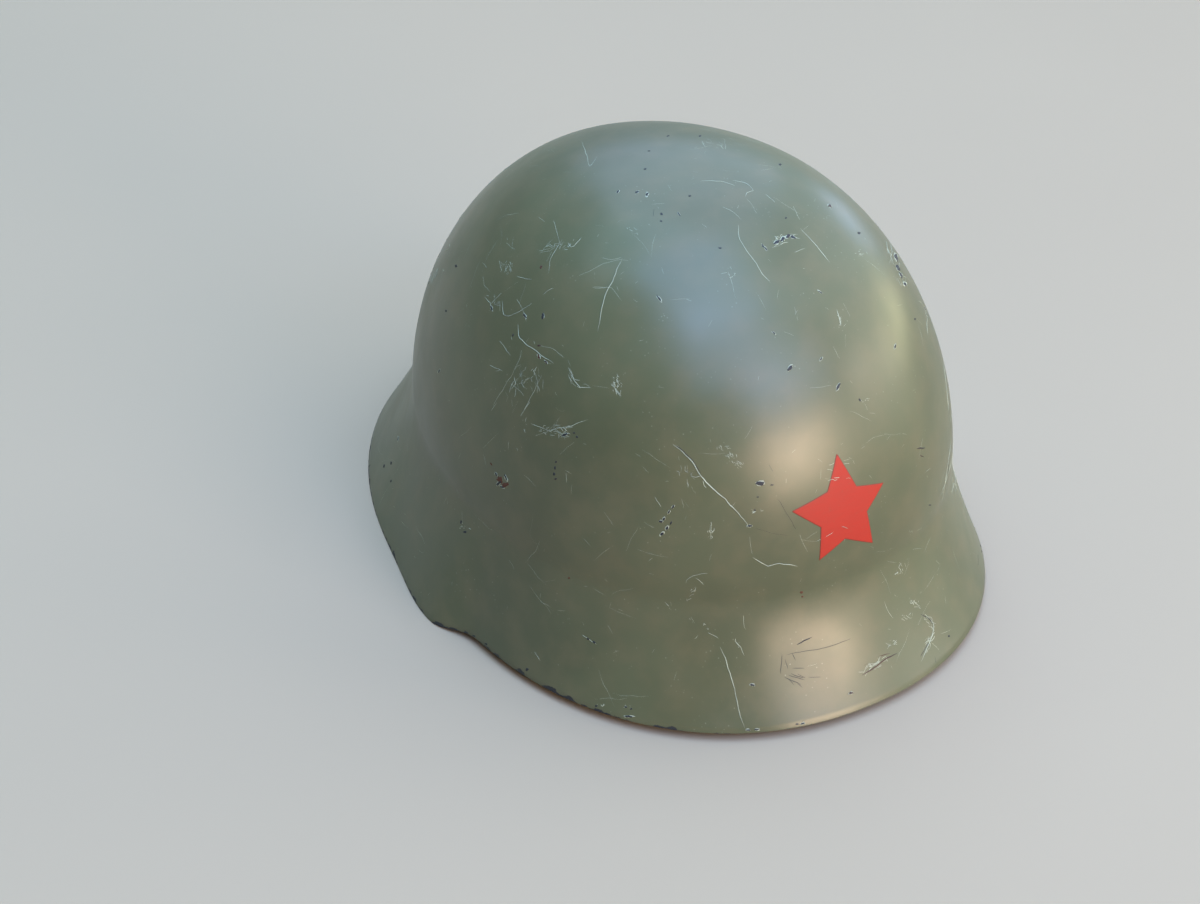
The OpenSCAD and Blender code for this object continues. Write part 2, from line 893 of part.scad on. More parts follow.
rail_t = 1.6;
rail_in = slot_half_h;
rail_out_x = 1.6;
base_t = 1;
base_x = -lay - strap_t/2 - 2*slip - base_t;
base_y = 6;
frame_len = 20;
frame_back = 2.2;
chamfer = 1.5;
pin_at = 12;
pin_head_rim = 0.7;
pin_head_h = 0.5;
bar_slack = 0.3;
bar_r = eye_in - bar_slack;
barrel_r = lay - strap_t/2 - 2*slip;
barrel_w = strap_w - 0.8;
lever_w = strap_w - 2;
lever_gap = 0.3;
lever_low = eye_out + lever_gap;
lever_t = 1.2;
lever_reach = 15;
lip_w = 2;
lip_h = 1.4;

module buckle_frame()
    color(dark_steel)
        left_run()
            translate([0, buckle_at, 0])
                difference() {
                    union() {
                        for (z = [-rail_in - rail_t, rail_in])
                            translate([0, 0, z])
                                linear_extrude(rail_t)
                                    polygon([
                                        [base_x, -frame_back + chamfer], [base_x + chamfer, -frame_back],
                                        [rail_out_x - chamfer, -frame_back], [rail_out_x, -frame_back + chamfer],
                                        [rail_out_x, frame_len - chamfer], [rail_out_x - chamfer, frame_len],
                                        [base_x, frame_len]
                                    ]);
                        cylinder(r = bar_r, h = 2*rail_in + rail_t, center = true);
                        translate([base_x, base_y, -rail_in - rail_t/2])
                            cube([base_t, frame_len - base_y, 2*rail_in + rail_t]);
                    }
                    translate([0, pin_at, 0])
                        cylinder(r = pin_r + bore_slip, h = 4*rail_in, center = true);
                }

module buckle_pin()
    color(zinc)
        left_run()
            translate([0, buckle_at + pin_at, 0]) {
                half = rail_in + rail_t + slip;
                cylinder(r = pin_r, h = 2*half, center = true);
                for (z = [-half - pin_head_h, half])
                    translate([0, 0, z])
                        cylinder(r = pin_r + pin_head_rim, h = pin_head_h);
            }

// A cam barrel that grips the strap, with a thumb plate
module buckle_lever() {
    tip = lever_low + lever_t;
    color(dark_steel)
        left_run()
            translate([0, buckle_at + pin_at, 0])
                difference() {
                    union() {
                        cylinder(r = barrel_r, h = barrel_w, center = true);
                        ribbon(lever_w)
                            polygon([
                                [0, barrel_r - slip], [tip, 0], [tip, lip_w - lever_reach],
                                [tip + lip_h, -lever_reach], [tip + lip_h - lever_t, -lever_reach - lever_t/2],
                                [lever_low, lip_w - lever_t/2 - lever_reach],
                                [lever_low, -barrel_r - lever_t/2], [0, slip - barrel_r]
                            ]);
                    }
                    cylinder(r = pin_r + bore_slip, h = 2*strap_w, center = true);
                }
}

// A loop that holds the strap's free end against the short strap
keeper_at = 24;
keeper_w = 8;
keeper_t = 1.2;
keeper_gap = 0.3;

module strap_keeper() {
    low = -lay - strap_t/2 - keeper_gap;
    high = strap_t + keeper_gap;
    half = strap_w/2 + keeper_gap;
    color(tan_leather)
        left_run()
            translate([0, keeper_at, 0])
                rotate([-90, 0, 0])
                    linear_extrude(keeper_w)
                        difference() {
                            translate([low - keeper_t, -half - keeper_t])
                                square([high - low + 2*keeper_t, 2*(half + keeper_t)]);
                            translate([low, -half])
                                square([high - low, 2*half]);
                        }
}

// A folded metal end on the strap
tip_t = 0.6;
tip_len = 9;

module strap_tip() {
    half_n = strap_t/2 + slip;
    half_w = strap_w/2 + slip;
    color(zinc)
        left_run()
            translate([-lay, tail_at - slip, 0])
                difference() {
                    translate([-half_n - tip_t, -tip_t, -half_w - tip_t])
                        cube([2*(half_n + tip_t), tip_len, 2*(half_w + tip_t)]);
                    translate([-half_n, 0, -half_w])
                        cube([2*half_n, tip_len, 2*half_w]);
                }
}

// Where the two joints turn, printed with the model
pin_flat = bar + turned([0, buckle_at + pin_at], left_a);
echo(strap_pivot = [0, axis_y + pivot_back, pivot_h]);
echo(lever_pin = [
    pin_flat.x,
    axis_y + pivot_back + pin_flat.y*cos(droop),
    pivot_h - pin_flat.y*sin(droop)
]);
echo(lever_axis = [0, sin(droop), cos(droop)]);
echo(droop = droop, left_a = left_a, lug_out = lug_out, axis_y = axis_y);

shell();
painted_star();
bracket(front_bracket_a);  // front_left_bracket
bracket(-front_bracket_a);  // front_right_bracket
bracket(rear_bracket_a);  // rear_left_bracket
bracket(-rear_bracket_a);  // rear_right_bracket
liner_band();
band_screws();
band_splice_rivets();
buffer(0);  // front_buffer
buffer(180);  // rear_buffer
buffer(90);  // left_buffer
buffer(-90);  // right_buffer
brow_band();
liner_rivets();
tongue(1);  // tongue_1
tongue(2);  // tongue_2
tongue(3);  // tongue_3
tongue(4);  // tongue_4
tongue(5);  // tongue_5
tongue(6);  // tongue_6
tongue(7);  // tongue_7
tongue(8);  // tongue_8
crown_lace();
strap_lug(1);  // left_strap_lug
strap_lug(-1);  // right_strap_lug
pivot_rivet(1);  // left_pivot_rivet
pivot_rivet(-1);  // right_pivot_rivet
strap_hanger(1);  // left_strap_hanger
strap_hanger(-1);  // right_strap_hanger
short_strap();
long_strap();
buckle_frame();
buckle_pin();
buckle_lever();
strap_keeper();
strap_tip();
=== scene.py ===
"""Pressed steel combat helmet with a leather liner and a web chin strap, dressed for rendering.

The packed CAD model is the frame. The origin is at the middle of the rim's box, on the plane that the
rim rests on. The helmet faces -Y, the wearer's left is +X, and +Z is up. A turn is measured round the
dome's axis from the front towards the wearer's left.
"""

import math
import random
from types import SimpleNamespace

import bmesh
import bpy
from mathutils import Matrix, Vector, noise
from mathutils.bvhtree import BVHTree


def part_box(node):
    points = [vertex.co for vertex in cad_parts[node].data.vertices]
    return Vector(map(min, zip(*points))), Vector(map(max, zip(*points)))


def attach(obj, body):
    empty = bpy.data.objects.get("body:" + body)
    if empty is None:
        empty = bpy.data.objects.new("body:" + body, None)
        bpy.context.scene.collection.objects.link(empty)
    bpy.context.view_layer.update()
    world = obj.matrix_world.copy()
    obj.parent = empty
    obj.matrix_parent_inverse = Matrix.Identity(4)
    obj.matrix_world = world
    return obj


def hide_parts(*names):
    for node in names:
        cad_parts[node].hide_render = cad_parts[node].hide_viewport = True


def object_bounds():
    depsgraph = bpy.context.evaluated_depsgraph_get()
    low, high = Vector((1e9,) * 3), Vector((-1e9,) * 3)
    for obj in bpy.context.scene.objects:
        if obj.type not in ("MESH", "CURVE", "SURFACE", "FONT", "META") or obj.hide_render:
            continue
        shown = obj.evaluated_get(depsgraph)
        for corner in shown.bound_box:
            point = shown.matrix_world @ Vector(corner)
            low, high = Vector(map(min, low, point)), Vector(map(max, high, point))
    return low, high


bl_info = {
    "name": "Pressed steel helmet",
    "version": (1, 0, 0),
    "blender": (4, 5, 0),
    "location": "View3D > Sidebar > Helmet",
    "description": "Builds a painted steel helmet with its leather liner and chin strap",
    "category": "Object",
}

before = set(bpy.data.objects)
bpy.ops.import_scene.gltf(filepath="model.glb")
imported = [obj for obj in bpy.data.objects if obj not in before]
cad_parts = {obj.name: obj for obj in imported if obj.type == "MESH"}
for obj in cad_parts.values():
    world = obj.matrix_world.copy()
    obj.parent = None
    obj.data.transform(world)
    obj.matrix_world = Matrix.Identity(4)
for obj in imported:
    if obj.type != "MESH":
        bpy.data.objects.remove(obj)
CAD_LOW, CAD_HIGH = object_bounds()

MM = 0.001
FULL_TURN = 2 * math.pi

# Exponents of the rounded outlines: 2 is an ellipse, and more is squarer
PLAN_FRONT_N = 2.2
PLAN_BACK_N = 1.95
PROFILE_FRONT_N = 2.3
PROFILE_SIDE_N = 2.55
PROFILE_BACK_N = 2.3
CROWN_N = 1.85
LEAN_N = 1.5
FRONT_FLARE_N = 1.45
SIDE_FLARE_N = 1.25

# The ear lobe's place behind the step, and its spread, in degrees
LOBE_OFFSET = 8
LOBE_SPREAD = 14

# Rays towards the shell start this far out, in millimetres
CLEAR_OF_SHELL = 400


# Settings

def length(name, default, description):
    """A length in millimetres as a Blender property, which holds metres."""
    return bpy.props.FloatProperty(
        name=name, description=description, default=default * MM, unit="LENGTH", precision=5
    )


def angle(name, default, description):
    """An angle in degrees as a Blender property, which holds radians."""
    return bpy.props.FloatProperty(
        name=name, description=description, default=math.radians(default), subtype="ANGLE"
    )


def number(name, default, description):
    """A plain number as a Blender property."""
    return bpy.props.FloatProperty(name=name, description=description, default=default)


def count(name, default, description):
    """A whole number as a Blender property."""
    return bpy.props.IntProperty(name=name, description=description, default=default)


def linear(code):
    """Turns an sRGB hex colour into linear red, green, blue and alpha."""
    parts = [int(code[i : i + 2], 16) / 255 for i in (1, 3, 5)]
    return [p / 12.92 if p <= 0.04045 else ((p + 0.055) / 1.055) ** 2.4 for p in parts] + [1.0]


def colour(name, code, description):
    """A colour property whose default is an sRGB hex colour."""
    return bpy.props.FloatVectorProperty(
        name=name, description=description, default=linear(code), size=4,
        subtype="COLOR", min=0, max=1
    )


class HELMET_PG_shell(bpy.types.PropertyGroup):
    """Sizes of the pressed shell."""

    half_width: length("Half width", 100, "Half the dome's outside width at the waist")
    front: length("Front", 117, "Dome from its axis to the front at the waist")
    back: length("Back", 136, "Dome from its axis to the back at the waist")
    crown_height: length("Crown height", CAD_HIGH.z / MM, "Height of the crown above the rim")
    waist_height: length("Waist height", 50, "Height where the dome ends and the flare starts")
    crown_lean: length("Crown lean", 6, "How far the crown leans towards the front")
    thickness: length("Thickness", 1.2, "Thickness of the pressed steel")
    front_flare: length("Front flare", 22.5, "How far the rim stands out at the front")
    temple_flare: length("Temple flare", 12, "How far the rim stands out ahead of the ears")
    ear_flare: length("Ear flare", 15, "How far the rim stands out over the ears")
    ear_lobe: length("Ear lobe", 4.5, "Extra bulge at the front corner of the ear skirt")
    nape_flare: length("Nape flare", 30, "How far the rim stands out at the nape")
    ear_angle: angle("Ear turn", 80, "Turn from the front at which the ear skirt starts")
    ear_blend: angle("Ear blend", 6, "Half the arc over which the skirt steps out")
    front_rim: length("Front rim", 3.5, "Height of the rim at the front above the rest")
    unevenness: length("Unevenness", 0.16, "How far the pressed steel wanders from its true form")
    columns: count("Columns", 216, "Faces round the shell")
    dome_rows: count("Dome rows", 56, "Faces from the crown to the waist")
    skirt_rows: count("Skirt rows", 20, "Faces from the waist to the rim")


class HELMET_PG_star(bpy.types.PropertyGroup):
    """Sizes of the painted star."""

    radius: length("Radius", 21, "Radius of the star's points")
    waist: number("Waist", 0.5, "Radius of the inner corners over that of the points")
    height: length("Height", 78, "Height of the star's middle above the rim")
    film: length("Film", 0.14, "Thickness of the red paint")


class HELMET_PG_liner(bpy.types.PropertyGroup):
    """Sizes of the liner and what holds it."""

    band_gap: length("Band gap", 8, "Gap between the shell and the steel band")
    band_low: length("Band low", 42, "Height of the band's lower edge above the rim")
    band_width: length("Band width", 20, "Width of the steel band")
    band_thickness: length("Band thickness", 1.2, "Thickness of the steel band")
    leather: length("Leather", 1.6, "Thickness of the leather")
    head_half_width: length("Head half width", 78, "Half the width of the head opening")
    head_front: length("Head front", 93, "Head opening from the dome's axis to the front")
    head_back: length("Head back", 108, "Head opening from the dome's axis to the back")
    brow_top: length("Brow top", 64, "Height of the brow band's upper edge")
    fold_radius: length("Fold radius", 3.5, "Radius of the fold at the brow band's lower edge")
    tongue_top: length("Tongue top", 138, "Height of the tongues' tips")
    ring_radius: length("Ring radius", 21, "Radius of the ring of lace at the crown")
    lace_radius: length("Lace radius", 1.5, "Radius of the lace")
    stitch_pitch: length("Stitch pitch", 4.2, "Distance from one stitch to the next")


class HELMET_PG_strap(bpy.types.PropertyGroup):
    """Sizes of the chin strap."""

    pivot_height: length("Pivot height", 24, "Height of the strap's pivots above the rim")
    pivot_back: length("Pivot back", 6, "Distance of the pivots behind the dome's axis")
    width: length("Width", 20, "Width of the webbing")
    thickness: length("Thickness", 1.2, "Thickness of the webbing")
    reach: length("Reach", 128, "Distance from the pivots to the far side of the loop")
    chin_radius: length("Chin radius", 58, "Radius of the bend under the chin")
    buckle_at: length("Buckle at", 40, "Distance from the hanger to the buckle")
    floor_gap: length("Floor gap", 0.6, "Gap under the strap's lowest edge at rest")


class HELMET_PG_wear(bpy.types.PropertyGroup):
    """How the paint has been used."""

    hairlines: number("Hairlines", 11000, "Hairlines on a square metre of shell")
    hairline_width: length("Hairline width", 0.11, "Width of a hairline at its middle")
    hairline_length: length("Hairline length", 6, "Length of a common hairline")
    scratch_width: length("Scratch width", 0.26, "Width of a common scratch at its middle")
    clusters: count("Clusters", 150, "Clusters of scratches, scuffs and chips round the shell")
    rim_chips: count("Rim chips", 90, "Chips along the rim")
    seed: count("Seed", 7, "Start of every random draw")


class HELMET_PG_finish(bpy.types.PropertyGroup):
    """Colours of the finishes."""

    olive: colour("Olive enamel", "#4E523A", "Paint on the outside of the shell")
    inner_olive: colour("Inner enamel", "#565A44", "Paint on the inside of the shell")
    undercoat: colour("Undercoat", "#1E2225", "What shows where the paint is chipped off")
    scored: colour("Scored enamel", "#9AA18B", "Paint bruised pale by a scratch")
    rust: colour("Rust", "#4C2C1B", "Rust in a few of the chips")
    red: colour("Red enamel", "#981E0B", "Paint of the star")
    zinc: colour("Zinc", "#B4B6B2", "Zinc-plated band, screws and rivets")
    black_oxide: colour("Black oxide", "#4A4C4A", "Blackened steel of the buckle and hangers")
    brass: colour("Brass", "#C2A05A", "Rivets that hold the leather")
    leather: colour("Leather", "#9A6B3F", "Vegetable-tanned leather")
    leather_edge: colour("Leather edge", "#5F3D22", "Cut edges of the leather")
    thread: colour("Thread", "#CFC4A2", "Waxed linen thread")
    cotton: colour("Cotton", "#D9D0B6", "Cotton lace")
    webbing: colour("Webbing", "#6B6C4B", "Cotton webbing")
    rubber: colour("Rubber", "#232322", "Buffers between the band and the shell")
    floor: colour("Floor", "#A3947F", "Studio floor")


GROUPS = {
    "helmet_shell": HELMET_PG_shell,
    "helmet_star": HELMET_PG_star,
    "helmet_liner": HELMET_PG_liner,
    "helmet_strap": HELMET_PG_strap,
    "helmet_wear": HELMET_PG_wear,
    "helmet_finish": HELMET_PG_finish,
}


# Nodes

def fill(tree, node, inputs):
    """Fills a node's inputs with values, sockets or other nodes, whose first output is taken."""
    for key, value in inputs.items():
        if isinstance(value, bpy.types.Node):
            value = next(s for s in value.outputs if s.enabled)
        if isinstance(value, bpy.types.NodeSocket):
            tree.links.new(value, node.inputs[key])
        else:
            node.inputs[key].default_value = value
    return node


def add(tree, kind, inputs=None, **settings):
    """Adds a node with its settings, then fills its inputs with values, sockets or other nodes."""
    node = tree.nodes.new(kind)
    for key, value in settings.items():
        setattr(node, key, value)
    return fill(tree, node, inputs or {})


# What a step's word adds: the kind of node, its settings, and the sockets that the step's inputs fill.
# Any other word is the operation of a Math node.
MATH_SOCKETS = (0, 1, 2)
RANGE_SOCKETS = (0, 1, 2, 3, 4)
STEP_WORDS = {
    "MIX": ("ShaderNodeMix", {}, (0, 2, 3)),
    "MIX_VECTORS": ("ShaderNodeMix", {"data_type": "VECTOR"}, (0, 4, 5)),
    "MIX_COLOURS": ("ShaderNodeMix", {"data_type": "RGBA"}, (0, 6, 7)),
    "RANGE": ("ShaderNodeMapRange", {}, RANGE_SOCKETS),
    "SMOOTH_RANGE": ("ShaderNodeMapRange", {"interpolation_type": "SMOOTHSTEP"}, RANGE_SOCKETS),
    "NOISE": ("ShaderNodeTexNoise", {}, ("Vector", "Scale", "Detail", "Roughness")),
    "CELLS": ("ShaderNodeTexVoronoi", {}, ("Vector", "Scale")),
    "CELL_EDGES": ("ShaderNodeTexVoronoi", {"feature": "DISTANCE_TO_EDGE"}, ("Vector", "Scale")),
    "PLIES": (
        "ShaderNodeTexWave", {"bands_direction": "DIAGONAL"},
        ("Vector", "Scale", "Distortion", "Detail"),
    ),
    "MAPPING": ("ShaderNodeMapping", {}, ("Vector", "Rotation", "Scale")),
    "PARTS": ("ShaderNodeSeparateXYZ", {}, (0,)),
    "POINT": ("ShaderNodeCombineXYZ", {}, MATH_SOCKETS),
    "VECTOR_SCALE": ("ShaderNodeVectorMath", {"operation": "SCALE"}, (0, "Scale")),
}
for word in ("ADD", "SUBTRACT", "MULTIPLY_ADD", "CROSS_PRODUCT", "DOT_PRODUCT", "NORMALIZE"):
    STEP_WORDS["VECTOR_" + word] = ("ShaderNodeVectorMath", {"operation": word}, MATH_SOCKETS)


def found(made, value):
    """A value, or what its name stands for: an earlier node, or its second output where :1 follows."""
    if not isinstance(value, str):
        return value
    name, _, output = value.partition(":")
    return made[name].outputs[int(output)] if output else made[name]


def add_steps(tree, made, *steps):
    """Adds a node for each step (name, word, inputs), and keeps it in made under the step's name.

    An input is a value, or the name of something made before. None leaves a socket as it is.
    """
    for name, word, *inputs in steps:
        kind, settings, sockets = STEP_WORDS.get(word, ("ShaderNodeMath", {"operation": word}, MATH_SOCKETS))
        values = {s: found(made, value) for s, value in zip(sockets, inputs) if value is not None}
        made[name] = add(tree, kind, values, **settings)


def new_tree(name, *inputs):
    """An empty Geometry Nodes tree with named inputs (name, kind, default), and its inputs by name."""
    tree = bpy.data.node_groups.new(name, "GeometryNodeTree")
    for label, kind, default in inputs:
        socket = tree.interface.new_socket(label, in_out="INPUT", socket_type="NodeSocket" + kind)
        if default is not None:
            socket.default_value = default
    return tree, {s.name: s for s in tree.nodes.new("NodeGroupInput").outputs if s.name}


def end_tree(tree, kind, result):
    """Gives a tree its one output, a vector or a geometry, and returns the tree."""
    tree.interface.new_socket("Result", in_out="OUTPUT", socket_type="NodeSocket" + kind)
    add(tree, "NodeGroupOutput", {"Result": result})
    return tree


def end_with_material(tree, made, geometry):
    """Ends a tree with plain geometry in the tree's material."""
    real = add(tree, "GeometryNodeRealizeInstances", {"Geometry": geometry})
    painted = add(tree, "GeometryNodeSetMaterial", {"Geometry": real, "Material": made["Material"]})
    return end_tree(tree, "Geometry", painted)


# The pressed surface as a rule

SHELL_INPUTS = [
    ("Half width", "half_width"), ("Front", "front"), ("Back", "back"),
    ("Crown height", "crown_height"), ("Waist height", "waist_height"),
    ("Crown lean", "crown_lean"), ("Front flare", "front_flare"),
    ("Temple flare", "temple_flare"), ("Ear flare", "ear_flare"), ("Ear lobe", "ear_lobe"),
    ("Nape flare", "nape_flare"), ("Ear turn", "ear_angle"), ("Ear blend", "ear_blend"),
    ("Front rim", "front_rim"),
]
SHELL_SOCKETS = [(label, "Float", None) for label, _ in SHELL_INPUTS]


def surface_group():
    """A node group that gives the point of the pressed surface at a turn and a row.

    A row goes from 0 at the crown to 1 at the waist and 2 at the rim.
    """
    tree, made = new_tree("pressed surface", ("Turn", "Float", None), ("Row", "Float", None), *SHELL_SOCKETS)
    add_steps(
        tree, made,
        ("across", "SINE", "Turn"),
        ("ahead", "COSINE", "Turn"),
        ("in_front", "GREATER_THAN", "ahead", 0.0),
        ("ahead_2", "MULTIPLY", "ahead", "ahead"),

        # The plan's outline at the waist
        ("reach", "MIX", "in_front", "Back", "Front"),
        ("plan_n", "MIX", "in_front", PLAN_BACK_N, PLAN_FRONT_N),
        ("wide", "DIVIDE", "across", "Half width"),
        ("wide", "ABSOLUTE", "wide"),
        ("wide", "POWER", "wide", "plan_n"),
        ("deep", "DIVIDE", "ahead", "reach"),
        ("deep", "ABSOLUTE", "deep"),
        ("deep", "POWER", "deep", "plan_n"),
        ("both", "ADD", "wide", "deep"),
        ("root", "DIVIDE", -1.0, "plan_n"),
        ("waist_r", "POWER", "both", "root"),

        # The dome above the waist
        ("slope", "MINIMUM", "Row", 1.0),
        ("slope", "MULTIPLY", "slope", math.pi / 2),
        ("rise", "COSINE", "slope"),
        ("rise", "MAXIMUM", "rise", 0.0),
        ("rise", "POWER", "rise", 2 / CROWN_N),
        ("end_n", "MIX", "in_front", PROFILE_BACK_N, PROFILE_FRONT_N),
        ("profile_n", "MIX", "ahead_2", PROFILE_SIDE_N, "end_n"),
        ("power", "DIVIDE", 2.0, "profile_n"),
        ("out", "SINE", "slope"),
        ("out", "POWER", "out", "power"),
        ("dome_r", "MULTIPLY", "waist_r", "out"),
        ("lean", "POWER", "rise", LEAN_N),
        ("lean", "MULTIPLY", "lean", "Crown lean"),
        ("dome_z", "MIX", "rise", "Waist height", "Crown height"),

        # The flare below the waist, which steps out at the ears
        ("skirt_row", "SUBTRACT", "Row", 1.0),
        ("skirt_row", "MAXIMUM", "skirt_row", 0.0),
        ("from_front", "ARCCOSINE", "ahead"),
        ("first", "SUBTRACT", "Ear turn", "Ear blend"),
        ("last", "ADD", "Ear turn", "Ear blend"),
        ("step", "SMOOTH_RANGE", "from_front", "first", "last"),
        ("past", "SUBTRACT", "from_front", "Ear turn"),
        ("past", "SUBTRACT", "past", math.radians(LOBE_OFFSET)),
        ("past", "DIVIDE", "past", math.radians(LOBE_SPREAD)),
        ("bell", "MULTIPLY", "past", "past"),
        ("bell", "MULTIPLY", "bell", -1.0),
        ("bell", "EXPONENT", "bell"),
        ("lobe", "MULTIPLY", "bell", "Ear lobe"),
        ("front_out", "MIX", "ahead_2", "Temple flare", "Front flare"),
        ("back_out", "SMOOTH_RANGE", "from_front", math.pi / 2, math.pi, "Ear flare", "Nape flare"),
        ("back_out", "ADD", "back_out", "lobe"),
        ("flare", "MIX", "step", "front_out", "back_out"),
        ("flare_end_n", "MIX", "in_front", SIDE_FLARE_N, FRONT_FLARE_N),
        ("flare_n", "MIX", "ahead_2", SIDE_FLARE_N, "flare_end_n"),
        ("spread", "POWER", "skirt_row", "flare_n"),
        ("spread", "MULTIPLY", "spread", "flare"),
        ("level", "SUBTRACT", 1.0, "step"),
        ("rim_z", "MULTIPLY", "level", "Front rim"),
        ("skirt_z", "MIX", "skirt_row", "Waist height", "rim_z"),

        # The dome's axis is set so that the rim's box is centred on the origin
        ("fore", "ADD", "Front", "Front flare"),
        ("aft", "ADD", "Back", "Nape flare"),
        ("axis_y", "SUBTRACT", "fore", "aft"),
        ("axis_y", "MULTIPLY", "axis_y", 0.5),
        ("below", "GREATER_THAN", "Row", 1.0),
        ("r", "ADD", "dome_r", "spread"),
        ("z", "MIX", "below", "dome_z", "skirt_z"),
        ("x", "MULTIPLY", "r", "across"),
        ("y", "MULTIPLY", "r", "ahead"),
        ("y", "SUBTRACT", "axis_y", "y"),
        ("y", "SUBTRACT", "y", "lean"),
        ("point", "POINT", "x", "y", "z"),
    )
    return end_tree(tree, "Vector", made["point"])


# How far apart in turn and row the neighbours are that give the surface's directions
NEIGHBOUR = 0.002


def pressed_shell_tree():
    """The whole shell: the pressed surface outside, and the same one thickness in on the inside."""
    tree, made = new_tree(
        "pressed shell",
        ("Geometry", "Geometry", None), *SHELL_SOCKETS,
        ("Thickness", "Float", 0.0012), ("Unevenness", "Float", 0.0002),
        ("Columns", "Int", 216), ("Dome rows", "Int", 56), ("Skirt rows", "Int", 20),
        ("Outside paint", "Material", None), ("Inside paint", "Material", None),
    )

    # A flat grid: columns are turns, and rows go down outside and back up inside
    add_steps(
        tree, made,
        ("side_rows", "ADD", "Dome rows", "Skirt rows"),
        ("last_row", "MULTIPLY_ADD", "side_rows", 2.0, 1.0),
        ("grid_rows", "ADD", "last_row", 1.0),
        ("grid_columns", "ADD", "Columns", 1.0),
    )
    grid = add(
        tree, "GeometryNodeMeshGrid",
        {"Size X": 1.0, "Size Y": 1.0, "Vertices X": made["grid_columns"], "Vertices Y": made["grid_rows"]},
    )
    made["spot"] = add(tree, "GeometryNodeInputPosition")
    add_steps(
        tree, made,
        ("place", "PARTS", "spot"),
        ("turn", "RANGE", "place:0", -0.5, 0.5, 0.0, FULL_TURN),
        ("grid_row", "RANGE", "place:1", -0.5, 0.5, 0.0, "last_row"),
        ("back_row", "SUBTRACT", "last_row", "grid_row"),
        ("down_row", "MINIMUM", "grid_row", "back_row"),
        ("inside", "GREATER_THAN", "grid_row", "back_row"),
        ("dome_part", "RANGE", "down_row", 0.0, "Dome rows"),
        ("skirt_part", "RANGE", "down_row", "Dome rows", "side_rows"),
        ("row", "ADD", "dome_part", "skirt_part"),
        ("around", "ADD", "turn", NEIGHBOUR),
        ("before", "SUBTRACT", "turn", NEIGHBOUR),
        ("lower", "ADD", "row", NEIGHBOUR),
        ("lower", "MINIMUM", "lower", 2.0),
        ("upper", "SUBTRACT", "row", NEIGHBOUR),
        ("upper", "MAXIMUM", "upper", NEIGHBOUR),
    )

    # The point and its neighbours, which give the surface's own directions
    group = surface_group()
    sizes = {label: made[label] for label, _ in SHELL_INPUTS}
    for name, turn, row in (
        ("here", "turn", "row"), ("left", "around", "row"), ("right", "before", "row"),
        ("low", "turn", "lower"), ("high", "turn", "upper"),
    ):
        spot = {"Turn": made[turn], "Row": made[row], **sizes}
        made[name] = add(tree, "GeometryNodeGroup", spot, node_tree=group)
    add_steps(
        tree, made,
        ("along", "VECTOR_SUBTRACT", "left", "right"),
        ("down", "VECTOR_SUBTRACT", "low", "high"),
        ("normal", "VECTOR_CROSS_PRODUCT", "down", "along"),
        ("normal", "VECTOR_NORMALIZE", "normal"),
        ("up", "VECTOR_SUBTRACT", "high", "low"),
        ("up", "VECTOR_NORMALIZE", "up"),

        # At the pole the neighbours fold up, so the direction there is straight up
        ("at_pole", "LESS_THAN", "row", NEIGHBOUR),
        ("normal", "MIX_VECTORS", "at_pole", "normal", (0.0, 0.0, 1.0)),

        # The inside keeps each row's height on the skirt, so that the rim is cut level
        ("normal_parts", "PARTS", "normal"),
        ("up_parts", "PARTS", "up"),
        ("level", "DIVIDE", "normal_parts:2", "up_parts:2"),
        ("on_skirt", "GREATER_THAN", "row", 1.0),
        ("level", "MULTIPLY", "level", "on_skirt"),
        ("sunk", "VECTOR_SCALE", "normal", -1.0),
        ("slid", "VECTOR_SCALE", "up", "level"),
        ("inward", "VECTOR_ADD", "sunk", "slid"),
        ("depth", "MULTIPLY", "Thickness", "inside"),
        ("wall", "VECTOR_SCALE", "inward", "depth"),

        # Pressing leaves the sheet slightly uneven, but the rim stays true
        ("drift", "NOISE", "here", 22.0, 1.0, 0.4),
        ("drift", "SUBTRACT", "drift", 0.5),
        ("fade", "RANGE", "row", 1.6, 2.0, 2.0, 0.0),
        ("drift", "MULTIPLY", "drift", "fade"),
        ("drift", "MULTIPLY", "drift", "Unevenness"),
        ("wander", "VECTOR_SCALE", "normal", "drift"),
        ("shifted", "VECTOR_ADD", "here", "wall"),
        ("shifted", "VECTOR_ADD", "shifted", "wander"),
        ("from_rim", "SUBTRACT", 2.0, "row"),
        ("from_rim", "MULTIPLY", "from_rim", "Waist height"),
    )

    # Attributes are stored on the flat grid, before its points move
    marked = grid
    for name in ("from_rim", "inside"):
        marked = add(
            tree, "GeometryNodeStoreNamedAttribute",
            {"Geometry": marked, "Name": name, "Value": made[name]}, data_type="FLOAT", domain="POINT",
        )
    moved = add(tree, "GeometryNodeSetPosition", {"Geometry": marked, "Position": made["shifted"]})
    closed = add(tree, "GeometryNodeMergeByDistance", {"Geometry": moved, "Distance": 0.00001})
    outward = add(tree, "GeometryNodeFlipFaces", {0: closed})
    smooth = add(tree, "GeometryNodeSetShadeSmooth", {"Geometry": outward, "Shade Smooth": True})
    real = add(tree, "GeometryNodeRealizeInstances", {"Geometry": smooth})
    painted = add(tree, "GeometryNodeSetMaterial", {"Geometry": real, "Material": made["Outside paint"]})
    within = add(tree, "GeometryNodeInputNamedAttribute", {"Name": "inside"}, data_type="FLOAT")
    within = add(tree, "ShaderNodeMath", {0: within, 1: 0.9}, operation="GREATER_THAN")
    painted = add(
        tree, "GeometryNodeSetMaterial",
        {"Geometry": painted, "Selection": within, "Material": made["Inside paint"]},
    )
    return end_tree(tree, "Geometry", painted)


